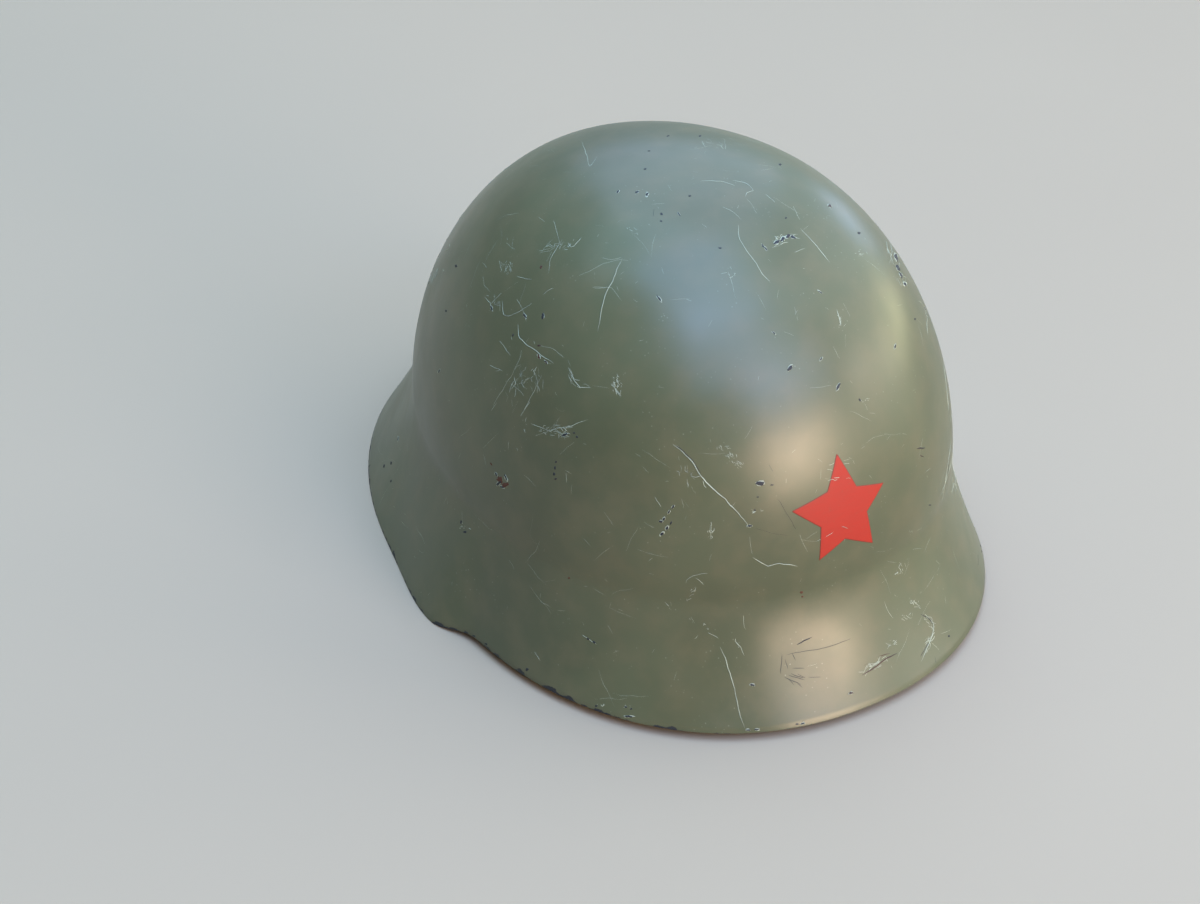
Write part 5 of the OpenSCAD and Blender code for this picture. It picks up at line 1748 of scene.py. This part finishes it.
def fit_band(sizes, materials):
    """The steel band with its brackets, buffers, screws and rivets."""
    shell, liner = sizes.shell, sizes.liner
    steel, paint, rubber = materials.zinc, materials.inside, materials.rubber
    finish_node("liner_band", "liner_band_steel", "helmet", "zinc_steel", steel, 0.2)
    for place in ("front_left", "front_right", "rear_left", "rear_right"):
        finish_node(place + "_bracket", place + "_bracket_pressed", "helmet", "inner_paint", paint, 0.3)
    for place in ("front", "rear", "left", "right"):
        finish_node(place + "_buffer", place + "_buffer_pad", "helmet", "rubber", rubber, 1.0)
    screw_z = liner.band_low + SCREW_SHARE * liner.band_width
    spots = band_spots(shell, liner, SCREW_TURNS, screw_z)
    screws = set_fasteners("slotted_band_screws", slotted_screw(), spots, math.pi, steel)
    seat(screws, "helmet", "zinc_steel", "band_screws")
    rivet = domed_rivet("splice_rivet", RIVET_SHAFT, -1.35, 1.3, 2.8, 2.8, RIVET_HEAD_HEIGHT)
    spots = band_spots(shell, liner, SPLICE_TURNS, screw_z + SPLICE_RISE)
    rivets = set_fasteners("domed_splice_rivets", rivet, spots, 0.0, steel)
    seat(rivets, "helmet", "zinc_steel", "band_splice_rivets")
    rivet = domed_rivet("liner_rivet", RIVET_SHAFT, -3.3, 0.1, 3.0, 2.5, RIVET_HEAD_HEIGHT)
    spots = band_spots(shell, liner, RIVET_TURNS, liner.band_low + RIVET_SHARE * liner.band_width)
    rivets = set_fasteners("domed_liner_rivets", rivet, spots, 0.0, materials.brass)
    seat(rivets, "helmet", "brass", "liner_rivets")


def ripple(turn, z):
    """How far worn leather stands off its true form at a turn and a height, in millimetres."""
    spot = Vector((math.sin(turn) * 3, math.cos(turn) * 3, z / 30))
    return 0.5 * noise.noise(spot * 1.4) + 0.18 * noise.noise(spot * 4.5)


def head_outline(liner, turn):
    """Distance from the dome's axis to the head opening."""
    return oval(turn, liner.head_half_width, liner.head_front, liner.head_back)


def brow_line(shell, liner, turn):
    """Distance and height pairs down the riveted flap, round the fold and up the face."""
    flap_rows, fold_rows, face_rows = 4, 12, 14
    inset = shell.thickness + liner.band_gap + liner.band_thickness + LAYER_GAP + liner.leather / 2
    fold_z = liner.band_low - 2
    flap_top = liner.band_low + SCREW_SHARE * liner.band_width - SCREW_HEAD - FLAP_CLEAR
    flap = outline(shell, turn, inset)
    face = outline(shell, turn, inset + 2 * liner.fold_radius)
    line = [(flap, mix(flap_top, fold_z, k / flap_rows)) for k in range(flap_rows)]
    for k in range(fold_rows + 1):
        a = math.pi * k / fold_rows
        r = outline(shell, turn, inset + liner.fold_radius * (1 - math.cos(a)))
        line.append((r, fold_z - liner.fold_radius * math.sin(a)))
    for k in range(1, face_rows + 1):
        s = k / face_rows
        z = mix(fold_z, liner.brow_top, s)
        r = mix(face, head_outline(liner, turn), ease(s)) + ripple(turn, z) * ease(2 * s)
        line.append((r, z))
    return line


def sew_brow_band(sizes, materials):
    """The leather brow band: riveted flap, rolled fold and a face that leans in to the head."""
    shell, liner = sizes.shell, sizes.liner
    turns = [FULL_TURN * c / 240 for c in range(240)]
    lines = [brow_line(shell, liner, turn) for turn in turns]
    rows = len(lines[0])
    points = [stand(shell, turn, *line[r]) for r in range(rows) for turn, line in zip(turns, lines)]
    faces = grid_faces(rows, len(turns), closed=True)
    piece = new_piece("brow_band_leather", points, faces, [materials.leather, materials.leather_edge])
    face_outwards(piece)
    thicken(piece, liner.leather * MM, rim_offset=1)
    seat(round_edges(piece, 0.4), "helmet", "leather", "brow_band")


def tongue_spot(liner, turn, s):
    """Distance and height on a tongue's middle: 0 at its sewn edge, 1 at its tip, 2 round the lace."""
    base = head_outline(liner, turn) - liner.leather - TONGUE_GAP
    hem = liner.lace_radius + TONGUE_GAP + liner.leather / 2
    if s <= 1:
        a = math.pi / 2 * s
        low = liner.brow_top - 7
        r = mix(liner.ring_radius, base, math.cos(a))
        z = mix(low, liner.tongue_top, math.sin(a))
        stir = ripple(turn, z) * (1 + 1.2 * math.sin(math.pi * s))
        return r + stir * math.cos(a), z + stir * math.sin(a) * (1 - s)
    a = math.pi / 2 + math.radians(250) * (s - 1)
    return liner.ring_radius + hem * math.cos(a), liner.tongue_top - hem + hem * math.sin(a)


def tongue_half_turn(s):
    """Half a tongue's width as a turn: it narrows towards the tip, with waisted sides."""
    s = min(s, 1)
    return math.radians(mix(21.3, 15, s) - 3 * math.sin(math.pi * s))


def cut_tongues(sizes, materials):
    """Eight leather tongues, each sewn to the brow band and hemmed round the lace at its tip."""
    shell, liner = sizes.shell, sizes.liner
    length_rows, hem_rows, columns = 40, 16, 25
    steps = [k / length_rows for k in range(length_rows + 1)]
    steps += [1 + k / hem_rows for k in range(1, hem_rows + 1)]
    faces = grid_faces(len(steps), columns)
    for k, middle in enumerate(TONGUE_TURNS, 1):
        points = []
        for s in steps:
            for c in range(columns):
                turn = middle + tongue_half_turn(s) * (2 * c / (columns - 1) - 1)
                points.append(stand(shell, turn, *tongue_spot(liner, turn, s)))
        piece = new_piece(f"tongue_{k}_leather", points, faces, [materials.leather, materials.leather_edge])
        thicken(piece, liner.leather * MM, rim_offset=1)
        seat(round_edges(piece, 0.35), "helmet", "leather", f"tongue_{k}")


def sew_liner(sizes, materials):
    """The seams that hold the tongues to the brow band, and those that close their hems."""
    shell, liner = sizes.shell, sizes.liner
    columns = 25
    runs = []
    for middle in TONGUE_TURNS:
        for s, side in ((0.03, -1), (0.945, -1), (0.945, 1)):
            reach = tongue_half_turn(s) - math.radians(1.5)
            run = []
            for c in range(columns):
                turn = middle + reach * (2 * c / (columns - 1) - 1)
                r, z = tongue_spot(liner, turn, s)
                after, before = (Vector(tongue_spot(liner, turn, s + d)) for d in (0.01, -0.01))
                along = after - before
                out = Vector((along.y, -along.x)).normalized() * (liner.leather / 2 - SUNK_THREAD) * side
                run.append(stand(shell, turn, r + out.x, z + out.y))
            runs.append(run)
    piece = grow(curve_piece("liner_stitches", runs), stitch_tree(), {
        "Pitch": liner.stitch_pitch * MM, "Stitch length": liner.stitch_pitch * 0.8 * MM,
        "Thread radius": 0.45 * MM, "Material": materials.thread,
    })
    seat(piece, "helmet", "leather")


def path_axes(path, closed):
    """For each point of a path: the point and two directions across it, carried along without twisting."""
    count = len(path)
    side = None
    for i, spot in enumerate(path):
        ahead = path[(i + 1) % count] if closed or i < count - 1 else spot
        behind = path[i - 1] if closed or i > 0 else spot
        along = (ahead - behind).normalized()
        side = side or along.orthogonal()
        side = (side - along * side.dot(along)).normalized()
        yield spot, side, along.cross(side)


def tube(path, radius, closed):
    """Points and faces of a round thread along a path of points."""
    sides, count = 7, len(path)
    turns = [FULL_TURN * k / sides for k in range(sides)]
    points = [
        spot + (side * math.cos(a) + over * math.sin(a)) * radius
        for spot, side, over in path_axes(path, closed)
        for a in turns
    ]
    faces = grid_faces(count, sides, closed=True)
    if closed:
        last = (count - 1) * sides
        faces += [(last + k, last + (k + 1) % sides, (k + 1) % sides, k) for k in range(sides)]
    else:
        faces.append(tuple(range(sides)))
        faces.append(tuple(reversed(range((count - 1) * sides, count * sides))))
    return points, faces


def twisted_cord(path, radius, turns, closed=False):
    """Plies that wind round a path of points, as (points, faces) for each ply."""
    plies = 3
    steps = len(path) if closed else len(path) - 1
    parts = []
    for ply in range(plies):
        line = []
        for i, (spot, side, over) in enumerate(path_axes(path, closed)):
            a = FULL_TURN * (turns * i / steps + ply / plies)
            line.append(spot + (side * math.cos(a) + over * math.sin(a)) * radius * 0.5)
        parts.append(tube(line, radius * 0.52, closed))
    return parts


def thread_lace(sizes, materials):
    """The twisted cotton lace through the tongues' hems, with its knot and tails at the back."""
    shell, liner = sizes.shell, sizes.liner
    ring_steps, knot_steps, tail_steps = 260, 60, 40
    level = liner.tongue_top - (liner.lace_radius + TONGUE_GAP + liner.leather / 2)
    ring = [stand(shell, FULL_TURN * k / ring_steps, liner.ring_radius, level) for k in range(ring_steps)]
    parts = twisted_cord(ring, liner.lace_radius, 26, closed=True)
    back = stand(shell, math.pi, liner.ring_radius - 1, level)
    knot = []
    for k in range(knot_steps + 1):
        t = k / knot_steps
        a = FULL_TURN * KNOT_WRAPS * t
        across = mix(-KNOT_REACH, KNOT_REACH, t)
        knot.append(back + Vector((across, KNOT_RADIUS * math.cos(a), KNOT_RADIUS * math.sin(a))))
    parts += twisted_cord(knot, 1.15, 7)
    for side in (-1, 1):
        tail = []
        for k in range(tail_steps + 1):
            t = k / tail_steps
            a = math.pi + math.radians(100) * t
            across = side * TAIL_RADIUS * (1 + math.cos(a))
            tail.append(back + Vector((across, TAIL_RADIUS * math.sin(a) - 1, -TAIL_DROP * t**2)))
        parts += twisted_cord(tail, liner.lace_radius - 0.2, 5)
    piece = new_piece("crown_lace_cord", *gather(parts), [materials.cotton])
    face_outwards(piece)
    seat(shade_smooth(piece), "helmet", "cotton", "crown_lace")


# The chin strap

# Inside radius of the webs' loops; where the hangers hang and their bars are, from the pivots; the long
# strap's end past the buckle; and the length of its sewn loop
EYE_INSIDE = 1.5
LUG_SEAT = 98.6
BAR_AT = 16
BUCKLE_TAIL = 10
SEWN = 26

# The pivots' rivets: shaft, inner and outer seats from the lug's middle, head radius and height
PIVOT_RIVET = (2.5, -1.65, 1.85, 4.2, 4.2, 1.35)


def strap_frame(sizes):
    """The strap's own axes in the part's frame, drooped so that the loop clears the floor."""
    shell, strap = sizes.shell, sizes.strap
    droop = math.asin((strap.pivot_height - strap.width / 2 - strap.floor_gap) / strap.reach)
    shift = Matrix.Translation((0, axis_y(shell) + strap.pivot_back, strap.pivot_height))
    return shift @ Matrix.Rotation(-droop, 4, "X")


def touch_turn(strap, r):
    """Turn on a circle round the chin bend's middle at which a line from the hanger's bar touches it."""
    across, along = LUG_SEAT, BAR_AT - (strap.reach - strap.chin_radius)
    return math.atan2(along, across) + math.acos(r / math.hypot(across, along))


def lay(strap):
    """Distance between the middles of the short strap and of the long strap beside it."""
    return EYE_INSIDE + strap.thickness + 0.1 + strap.thickness / 2


def left_run(sizes):
    """The left run's axes: its origin is the hanger's bar, X faces out and Y runs along the strap."""
    turn = touch_turn(sizes.strap, sizes.strap.chin_radius + lay(sizes.strap))
    return strap_frame(sizes) @ Matrix.Translation((LUG_SEAT, BAR_AT, 0)) @ Matrix.Rotation(turn, 4, "Z")


def right_run(sizes):
    """The right run's axes, with X towards the other side."""
    turn = touch_turn(sizes.strap, sizes.strap.chin_radius)
    return strap_frame(sizes) @ Matrix.Translation((-LUG_SEAT, BAR_AT, 0)) @ Matrix.Rotation(-turn, 4, "Z")


def web(name, path, sizes, materials, axes, closed=False):
    """Webbing along a flat path of points, on edge in the strap's own axes."""
    strap = sizes.strap
    across = 9
    edges = [strap.width * (c / (across - 1) - 0.5) for c in range(across)]
    points = [axes @ Vector((x, y, z)) for x, y in path for z in edges]
    run = sum((Vector(a) - Vector(b)).length for a, b in zip(path, path[1:]))
    piece = new_piece(name, points, grid_faces(len(path), across), [materials.webbing])
    give_uv(piece, len(path), across, run * MM, strap.width * MM)
    if closed:
        work = bmesh.new()
        work.from_mesh(piece.data)
        bmesh.ops.remove_doubles(work, verts=work.verts, dist=0.01 * MM)
        work.to_mesh(piece.data)
        work.free()
    thicken(piece, strap.thickness * 0.98 * MM)
    return round_edges(piece, 0.35)


def eye_path(side, steps=12):
    """Half of a loop round a bar at the origin: from the doubled run round to the far side."""
    r = EYE_INSIDE + 0.6
    turns = [math.pi * k / steps for k in range(steps + 1)]
    return [(side * r * math.cos(a), -r * math.sin(a)) for a in turns]


def even(path):
    """The same path with points a millimetre apart, its corners eased."""
    out = [Vector(path[0])]
    for a, b in zip(path, path[1:]):
        a, b = Vector(a), Vector(b)
        n = max(1, round((b - a).length))
        out += [a.lerp(b, (k + 1) / n) for k in range(n)]
    for _ in range(3):
        out = [out[0]] + [(p + 2 * q + r) / 4 for p, q, r in zip(out, out[1:], out[2:])] + [out[-1]]
    return [tuple(p) for p in out]


def weave_straps(sizes, materials):
    """The two web straps, each sewn round a bar."""
    strap = sizes.strap
    half = strap.thickness / 2 + 0.01
    merge = 3 * (EYE_INSIDE + strap.thickness)
    middle = strap.buckle_at / 2

    # The short strap is one sewn loop between the hanger's bar and the buckle's
    lower = eye_path(-1)
    upper = [(-x, strap.buckle_at - y) for x, y in lower]
    loop = [(-half, middle), (-half, merge), *lower, (half, merge), (half, strap.buckle_at - merge)]
    loop += [*upper, (-half, strap.buckle_at - merge), (-half, middle)]
    short = web("short_strap_web", even(loop), sizes, materials, left_run(sizes), closed=True)
    seat(short, "chin_strap", "webbing", "short_strap")

    # The long strap runs from its tip through the buckle and round the chin to the right hanger
    frame_axes = strap_frame(sizes)
    to_frame = frame_axes.inverted()
    bend_steps = 60
    bend_y = strap.reach - strap.chin_radius
    tip = to_frame @ left_run(sizes) @ Vector((-lay(strap), BUCKLE_TAIL, 0))
    path = [(tip.x, tip.y)]
    start = touch_turn(strap, strap.chin_radius + lay(strap))
    end = math.pi - touch_turn(strap, strap.chin_radius)
    for k in range(bend_steps + 1):
        a = mix(start, end, k / bend_steps)
        path.append((strap.chin_radius * math.cos(a), bend_y + strap.chin_radius * math.sin(a)))
    local = [(0, SEWN + 5), (half, SEWN - 1), (half, merge), *eye_path(1), (-half, merge), (-half, SEWN)]
    for x, y in local:
        spot = to_frame @ right_run(sizes) @ Vector((x, y, 0))
        path.append((spot.x, spot.y))
    long = web("long_strap_web", even(path), sizes, materials, frame_axes)
    seat(long, "chin_strap", "webbing", "long_strap")


def sew_strap(sizes, materials):
    """The crossed boxes of stitches that close the straps' sewn loops."""
    strap = sizes.strap
    face = strap.thickness + 0.02
    z = strap.width / 2 - 2.5
    runs = []
    for axes, low, high in ((left_run(sizes), 10, 21), (right_run(sizes), 11, SEWN - 2)):
        corners = [Vector(spot) for spot in ((low, -z), (high, -z), (high, z), (low, z), (low, -z))]
        lines = [*zip(corners, corners[1:]), (corners[0], corners[2]), (corners[1], corners[3])]
        for side in (-1, 1):
            runs += [[axes @ Vector((side * face, *spot)) for spot in line] for line in lines]
    piece = grow(curve_piece("strap_stitches", runs), stitch_tree(), {
        "Pitch": 2.4 * MM, "Stitch length": 2.0 * MM, "Thread radius": 0.32 * MM,
        "Material": materials.thread,
    })
    seat(piece, "chin_strap", "webbing")


def fit_strap_metal(sizes, materials):
    """Lugs, pivots, hangers, buckle and tip, with their edges rounded."""
    paint, oxide, zinc = materials.inside, materials.oxide, materials.zinc
    for side in ("left", "right"):
        lug, hanger = side + "_strap_lug", side + "_strap_hanger"
        finish_node(lug, lug + "_pressed", "helmet", "inner_paint", paint, 0.3)
        finish_node(hanger, hanger + "_pressed", "chin_strap", "dark_steel", oxide, 0.3)
    finish_node("buckle_frame", "buckle_frame_pressed", "chin_strap", "dark_steel", oxide, 0.25)
    finish_node("buckle_pin", "buckle_pin_steel", "chin_strap", "zinc_steel", zinc, 0.15)
    finish_node("buckle_lever", "buckle_lever_pressed", "lever", "dark_steel", oxide, 0.25)
    finish_node("strap_tip", "strap_tip_folded", "chin_strap", "zinc_steel", zinc, 0.2)
    low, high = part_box("left_pivot_rivet")
    x, y, z = (low + high) / 2 / MM
    spots = [(Vector((side * x, y, z)), Vector((side, 0, 0))) for side in (1, -1)]
    rivet = domed_rivet("pivot_rivet", *PIVOT_RIVET)
    rivets = set_fasteners("domed_pivot_rivets", rivet, spots, 0.0, zinc)
    seat(rivets, "helmet", "zinc_steel", "left_pivot_rivet", "right_pivot_rivet")


def loop_keeper(sizes, materials):
    """The leather keeper round both straps."""
    finish_node("strap_keeper", "strap_keeper_leather", "chin_strap", "leather", materials.leather, 0.45)


# The stage

FLOOR_HALF = 4000
FLOOR_LEVEL = -0.2

# Glows of the walls: turn and elevation seen from the helmet, strength and colour; a higher fall is narrower
GLOWS = [(100, 30, 1.6, "#D6EDFF"), (-130, 30, 0.45, "#F4EBCC")]
GLOW_FALL = 3
EVEN_LIGHT = (0.08, 0.08, 0.08)

# Soft boxes: name, turn and elevation seen from the helmet, width and height in metres, watts and colour
LIGHTS = [
    ("overhead_sky", 0, 85, 2.4, 2.4, 94, "#A2CAFF"),
    ("high_front_sky", -12, 56, 2.2, 1.9, 57, "#A8C6FF"),
    ("front_sky", 14, 34, 1.6, 1.2, 40, "#B4CEFF"),
    ("back_sky", 150, 45, 2.1, 3.3, 40, "#BAD1FF"),
    ("far_sky", -160, 60, 2.4, 1.5, 20, "#B3ECFF"),
    ("front_warm", 12, 8, 1.6, 0.9, 84, "#FFDFC2"),
    ("left_warm", -40, 9, 0.8, 0.6, 2.4, "#FFD0A0"),
    ("side_warm", 58, 10, 1.8, 0.9, 18, "#FFF1DC"),
    ("side_high", 48, 20, 0.6, 0.6, 5, "#FFE7DE"),
    ("side_fill", 75, 40, 2.4, 1.8, 10, "#FAF5FF"),
    ("side_low", 84, 7, 1.6, 0.7, 17, "#FFF3B8"),
    ("side_cool", 115, 9, 0.8, 0.6, 6.5, "#C0D6FF"),
]
LIGHT_DISTANCE = 3.0
LIT_POINT = (0, 0, 0.08)


def set_stage(sizes, materials):
    """The floor, the lights and the camera."""
    corners = ((-1, -1), (1, -1), (1, 1), (-1, 1))
    points = [(FLOOR_HALF * x, FLOOR_HALF * y, FLOOR_LEVEL) for x, y in corners]
    new_piece("studio_floor", points, [(0, 1, 2, 3)], [materials.floor])
    scene = bpy.context.scene
    scene.world = studio_air()
    scene.view_settings.view_transform = "Standard"
    for light in LIGHTS:
        hang_light(*light)
    place_camera()


def studio_air():
    """The light of the room's walls: wide glows that fade round from their middles."""
    world = bpy.data.worlds.new("studio_air")
    world.use_nodes = True
    tree = world.node_tree
    made = {"towards": add(tree, "ShaderNodeTexCoord").outputs["Generated"], "light": EVEN_LIGHT}
    for azimuth, elevation, strength, code in GLOWS:
        shine = tuple(strength * c for c in linear(code)[:3])
        add_steps(
            tree, made,
            ("near", "VECTOR_DOT_PRODUCT", "towards", tuple(direction(azimuth, elevation))),
            ("near", "MULTIPLY_ADD", "near:1", GLOW_FALL, -GLOW_FALL),
            ("near", "EXPONENT", "near"),
            ("light", "VECTOR_MULTIPLY_ADD", "near", shine, "light"),
        )
    fill(tree, tree.nodes["Background"], {"Color": made["light"], "Strength": 1.0})
    return world


def hang_light(name, azimuth, elevation, width, height, power, code):
    """A soft box that faces the helmet and that the camera doesn't see."""
    data = bpy.data.lights.new(name, "AREA")
    data.shape = "RECTANGLE"
    data.size, data.size_y = width, height
    data.energy = power
    data.color = linear(code)[:3]
    lamp = new_object(name, data)
    out = direction(azimuth, elevation)
    lamp.location = Vector(LIT_POINT) + out * LIGHT_DISTANCE
    lamp.rotation_euler = out.to_track_quat("Z", "Y").to_euler()
    lamp.visible_camera = False


def place_camera():
    """The photograph's view: a long lens from above the wearer's right front."""
    data = bpy.data.cameras.new("camera")
    data.sensor_width = SENSOR_WIDTH
    data.lens = VIEW_LENS
    data.clip_start, data.clip_end = 0.01, 50
    camera = new_object("camera", data)
    camera.location, axes = camera_axes()
    camera.rotation_euler = axes.to_euler()
    bpy.context.scene.camera = camera


# Operators

MATERIALS = {}


def build(*steps):
    """Runs an operator's steps with the scene's sizes and the materials, which are made once.

    A mistake in a step raises an error.
    """
    scene = bpy.context.scene
    if not MATERIALS:
        MATERIALS.update(all_materials(scene.helmet_finish))
    sizes = SimpleNamespace(**{key.removeprefix("helmet_"): in_mm(getattr(scene, key)) for key in GROUPS})
    for step in steps:
        step(sizes, SimpleNamespace(**MATERIALS))
    return {"FINISHED"}


class HELMET_OT_shell(bpy.types.Operator):
    """Press the shell and paint it"""

    bl_idname = "helmet.shell"
    bl_label = "Shell"

    def execute(self, context):
        return build(press_shell)


class HELMET_OT_star(bpy.types.Operator):
    """Paint the star on the front"""

    bl_idname = "helmet.star"
    bl_label = "Star"

    def execute(self, context):
        return build(paint_star)


class HELMET_OT_wear(bpy.types.Operator):
    """Scratch and chip the paint"""

    bl_idname = "helmet.wear"
    bl_label = "Wear"

    def execute(self, context):
        return build(wear_paint)


class HELMET_OT_band(bpy.types.Operator):
    """Fit the steel band with its brackets, buffers, screws and rivets"""

    bl_idname = "helmet.band"
    bl_label = "Liner band"

    def execute(self, context):
        return build(fit_band)


class HELMET_OT_brow_band(bpy.types.Operator):
    """Fold and rivet the leather brow band"""

    bl_idname = "helmet.brow_band"
    bl_label = "Brow band"

    def execute(self, context):
        return build(sew_brow_band)


class HELMET_OT_tongues(bpy.types.Operator):
    """Cut the eight leather tongues and sew them in"""

    bl_idname = "helmet.tongues"
    bl_label = "Tongues"

    def execute(self, context):
        return build(cut_tongues, sew_liner)


class HELMET_OT_lace(bpy.types.Operator):
    """Thread the lace through the tongues' hems"""

    bl_idname = "helmet.lace"
    bl_label = "Lace"

    def execute(self, context):
        return build(thread_lace)


class HELMET_OT_strap_metal(bpy.types.Operator):
    """Fit the strap's lugs, pivots, hangers and buckle"""

    bl_idname = "helmet.strap_metal"
    bl_label = "Strap metal"

    def execute(self, context):
        return build(fit_strap_metal)


class HELMET_OT_straps(bpy.types.Operator):
    """Weave and sew the two web straps and their keeper"""

    bl_idname = "helmet.straps"
    bl_label = "Web straps"

    def execute(self, context):
        return build(weave_straps, sew_strap, loop_keeper)


class HELMET_OT_stage(bpy.types.Operator):
    """Lay the floor, hang the lights and place the camera"""

    bl_idname = "helmet.stage"
    bl_label = "Stage"

    def execute(self, context):
        return build(set_stage)


OPERATORS = (
    HELMET_OT_shell, HELMET_OT_star, HELMET_OT_wear, HELMET_OT_band, HELMET_OT_brow_band,
    HELMET_OT_tongues, HELMET_OT_lace, HELMET_OT_strap_metal, HELMET_OT_straps, HELMET_OT_stage,
)


class HELMET_PT_panel(bpy.types.Panel):
    """Settings and steps, in the order in which they are run"""

    bl_idname = "HELMET_PT_panel"
    bl_label = "Pressed steel helmet"
    bl_space_type = "VIEW_3D"
    bl_region_type = "UI"
    bl_category = "Helmet"

    def draw(self, context):
        """Lists the settings of each group, and then the steps."""
        for key, group in GROUPS.items():
            box = self.layout.box()
            box.label(text=group.__doc__)
            for name in group.__annotations__:
                box.prop(getattr(context.scene, key), name)
        for operator in OPERATORS:
            self.layout.operator(operator.bl_idname)


def register():
    """Registers the settings, the operators and the panel."""
    for cls in (*GROUPS.values(), *OPERATORS, HELMET_PT_panel):
        bpy.utils.register_class(cls)
    for key, group in GROUPS.items():
        setattr(bpy.types.Scene, key, bpy.props.PointerProperty(type=group))


def unregister():
    """Removes what register added."""
    for key in GROUPS:
        delattr(bpy.types.Scene, key)
    for cls in (HELMET_PT_panel, *reversed(OPERATORS), *reversed(GROUPS.values())):
        bpy.utils.unregister_class(cls)


def main():
    """Registers the settings and steps, and builds the whole helmet in order."""
    register()
    for operator in OPERATORS:
        group, step = operator.bl_idname.split(".")
        getattr(getattr(bpy.ops, group), step)()


if __name__ == "__main__":
    main()
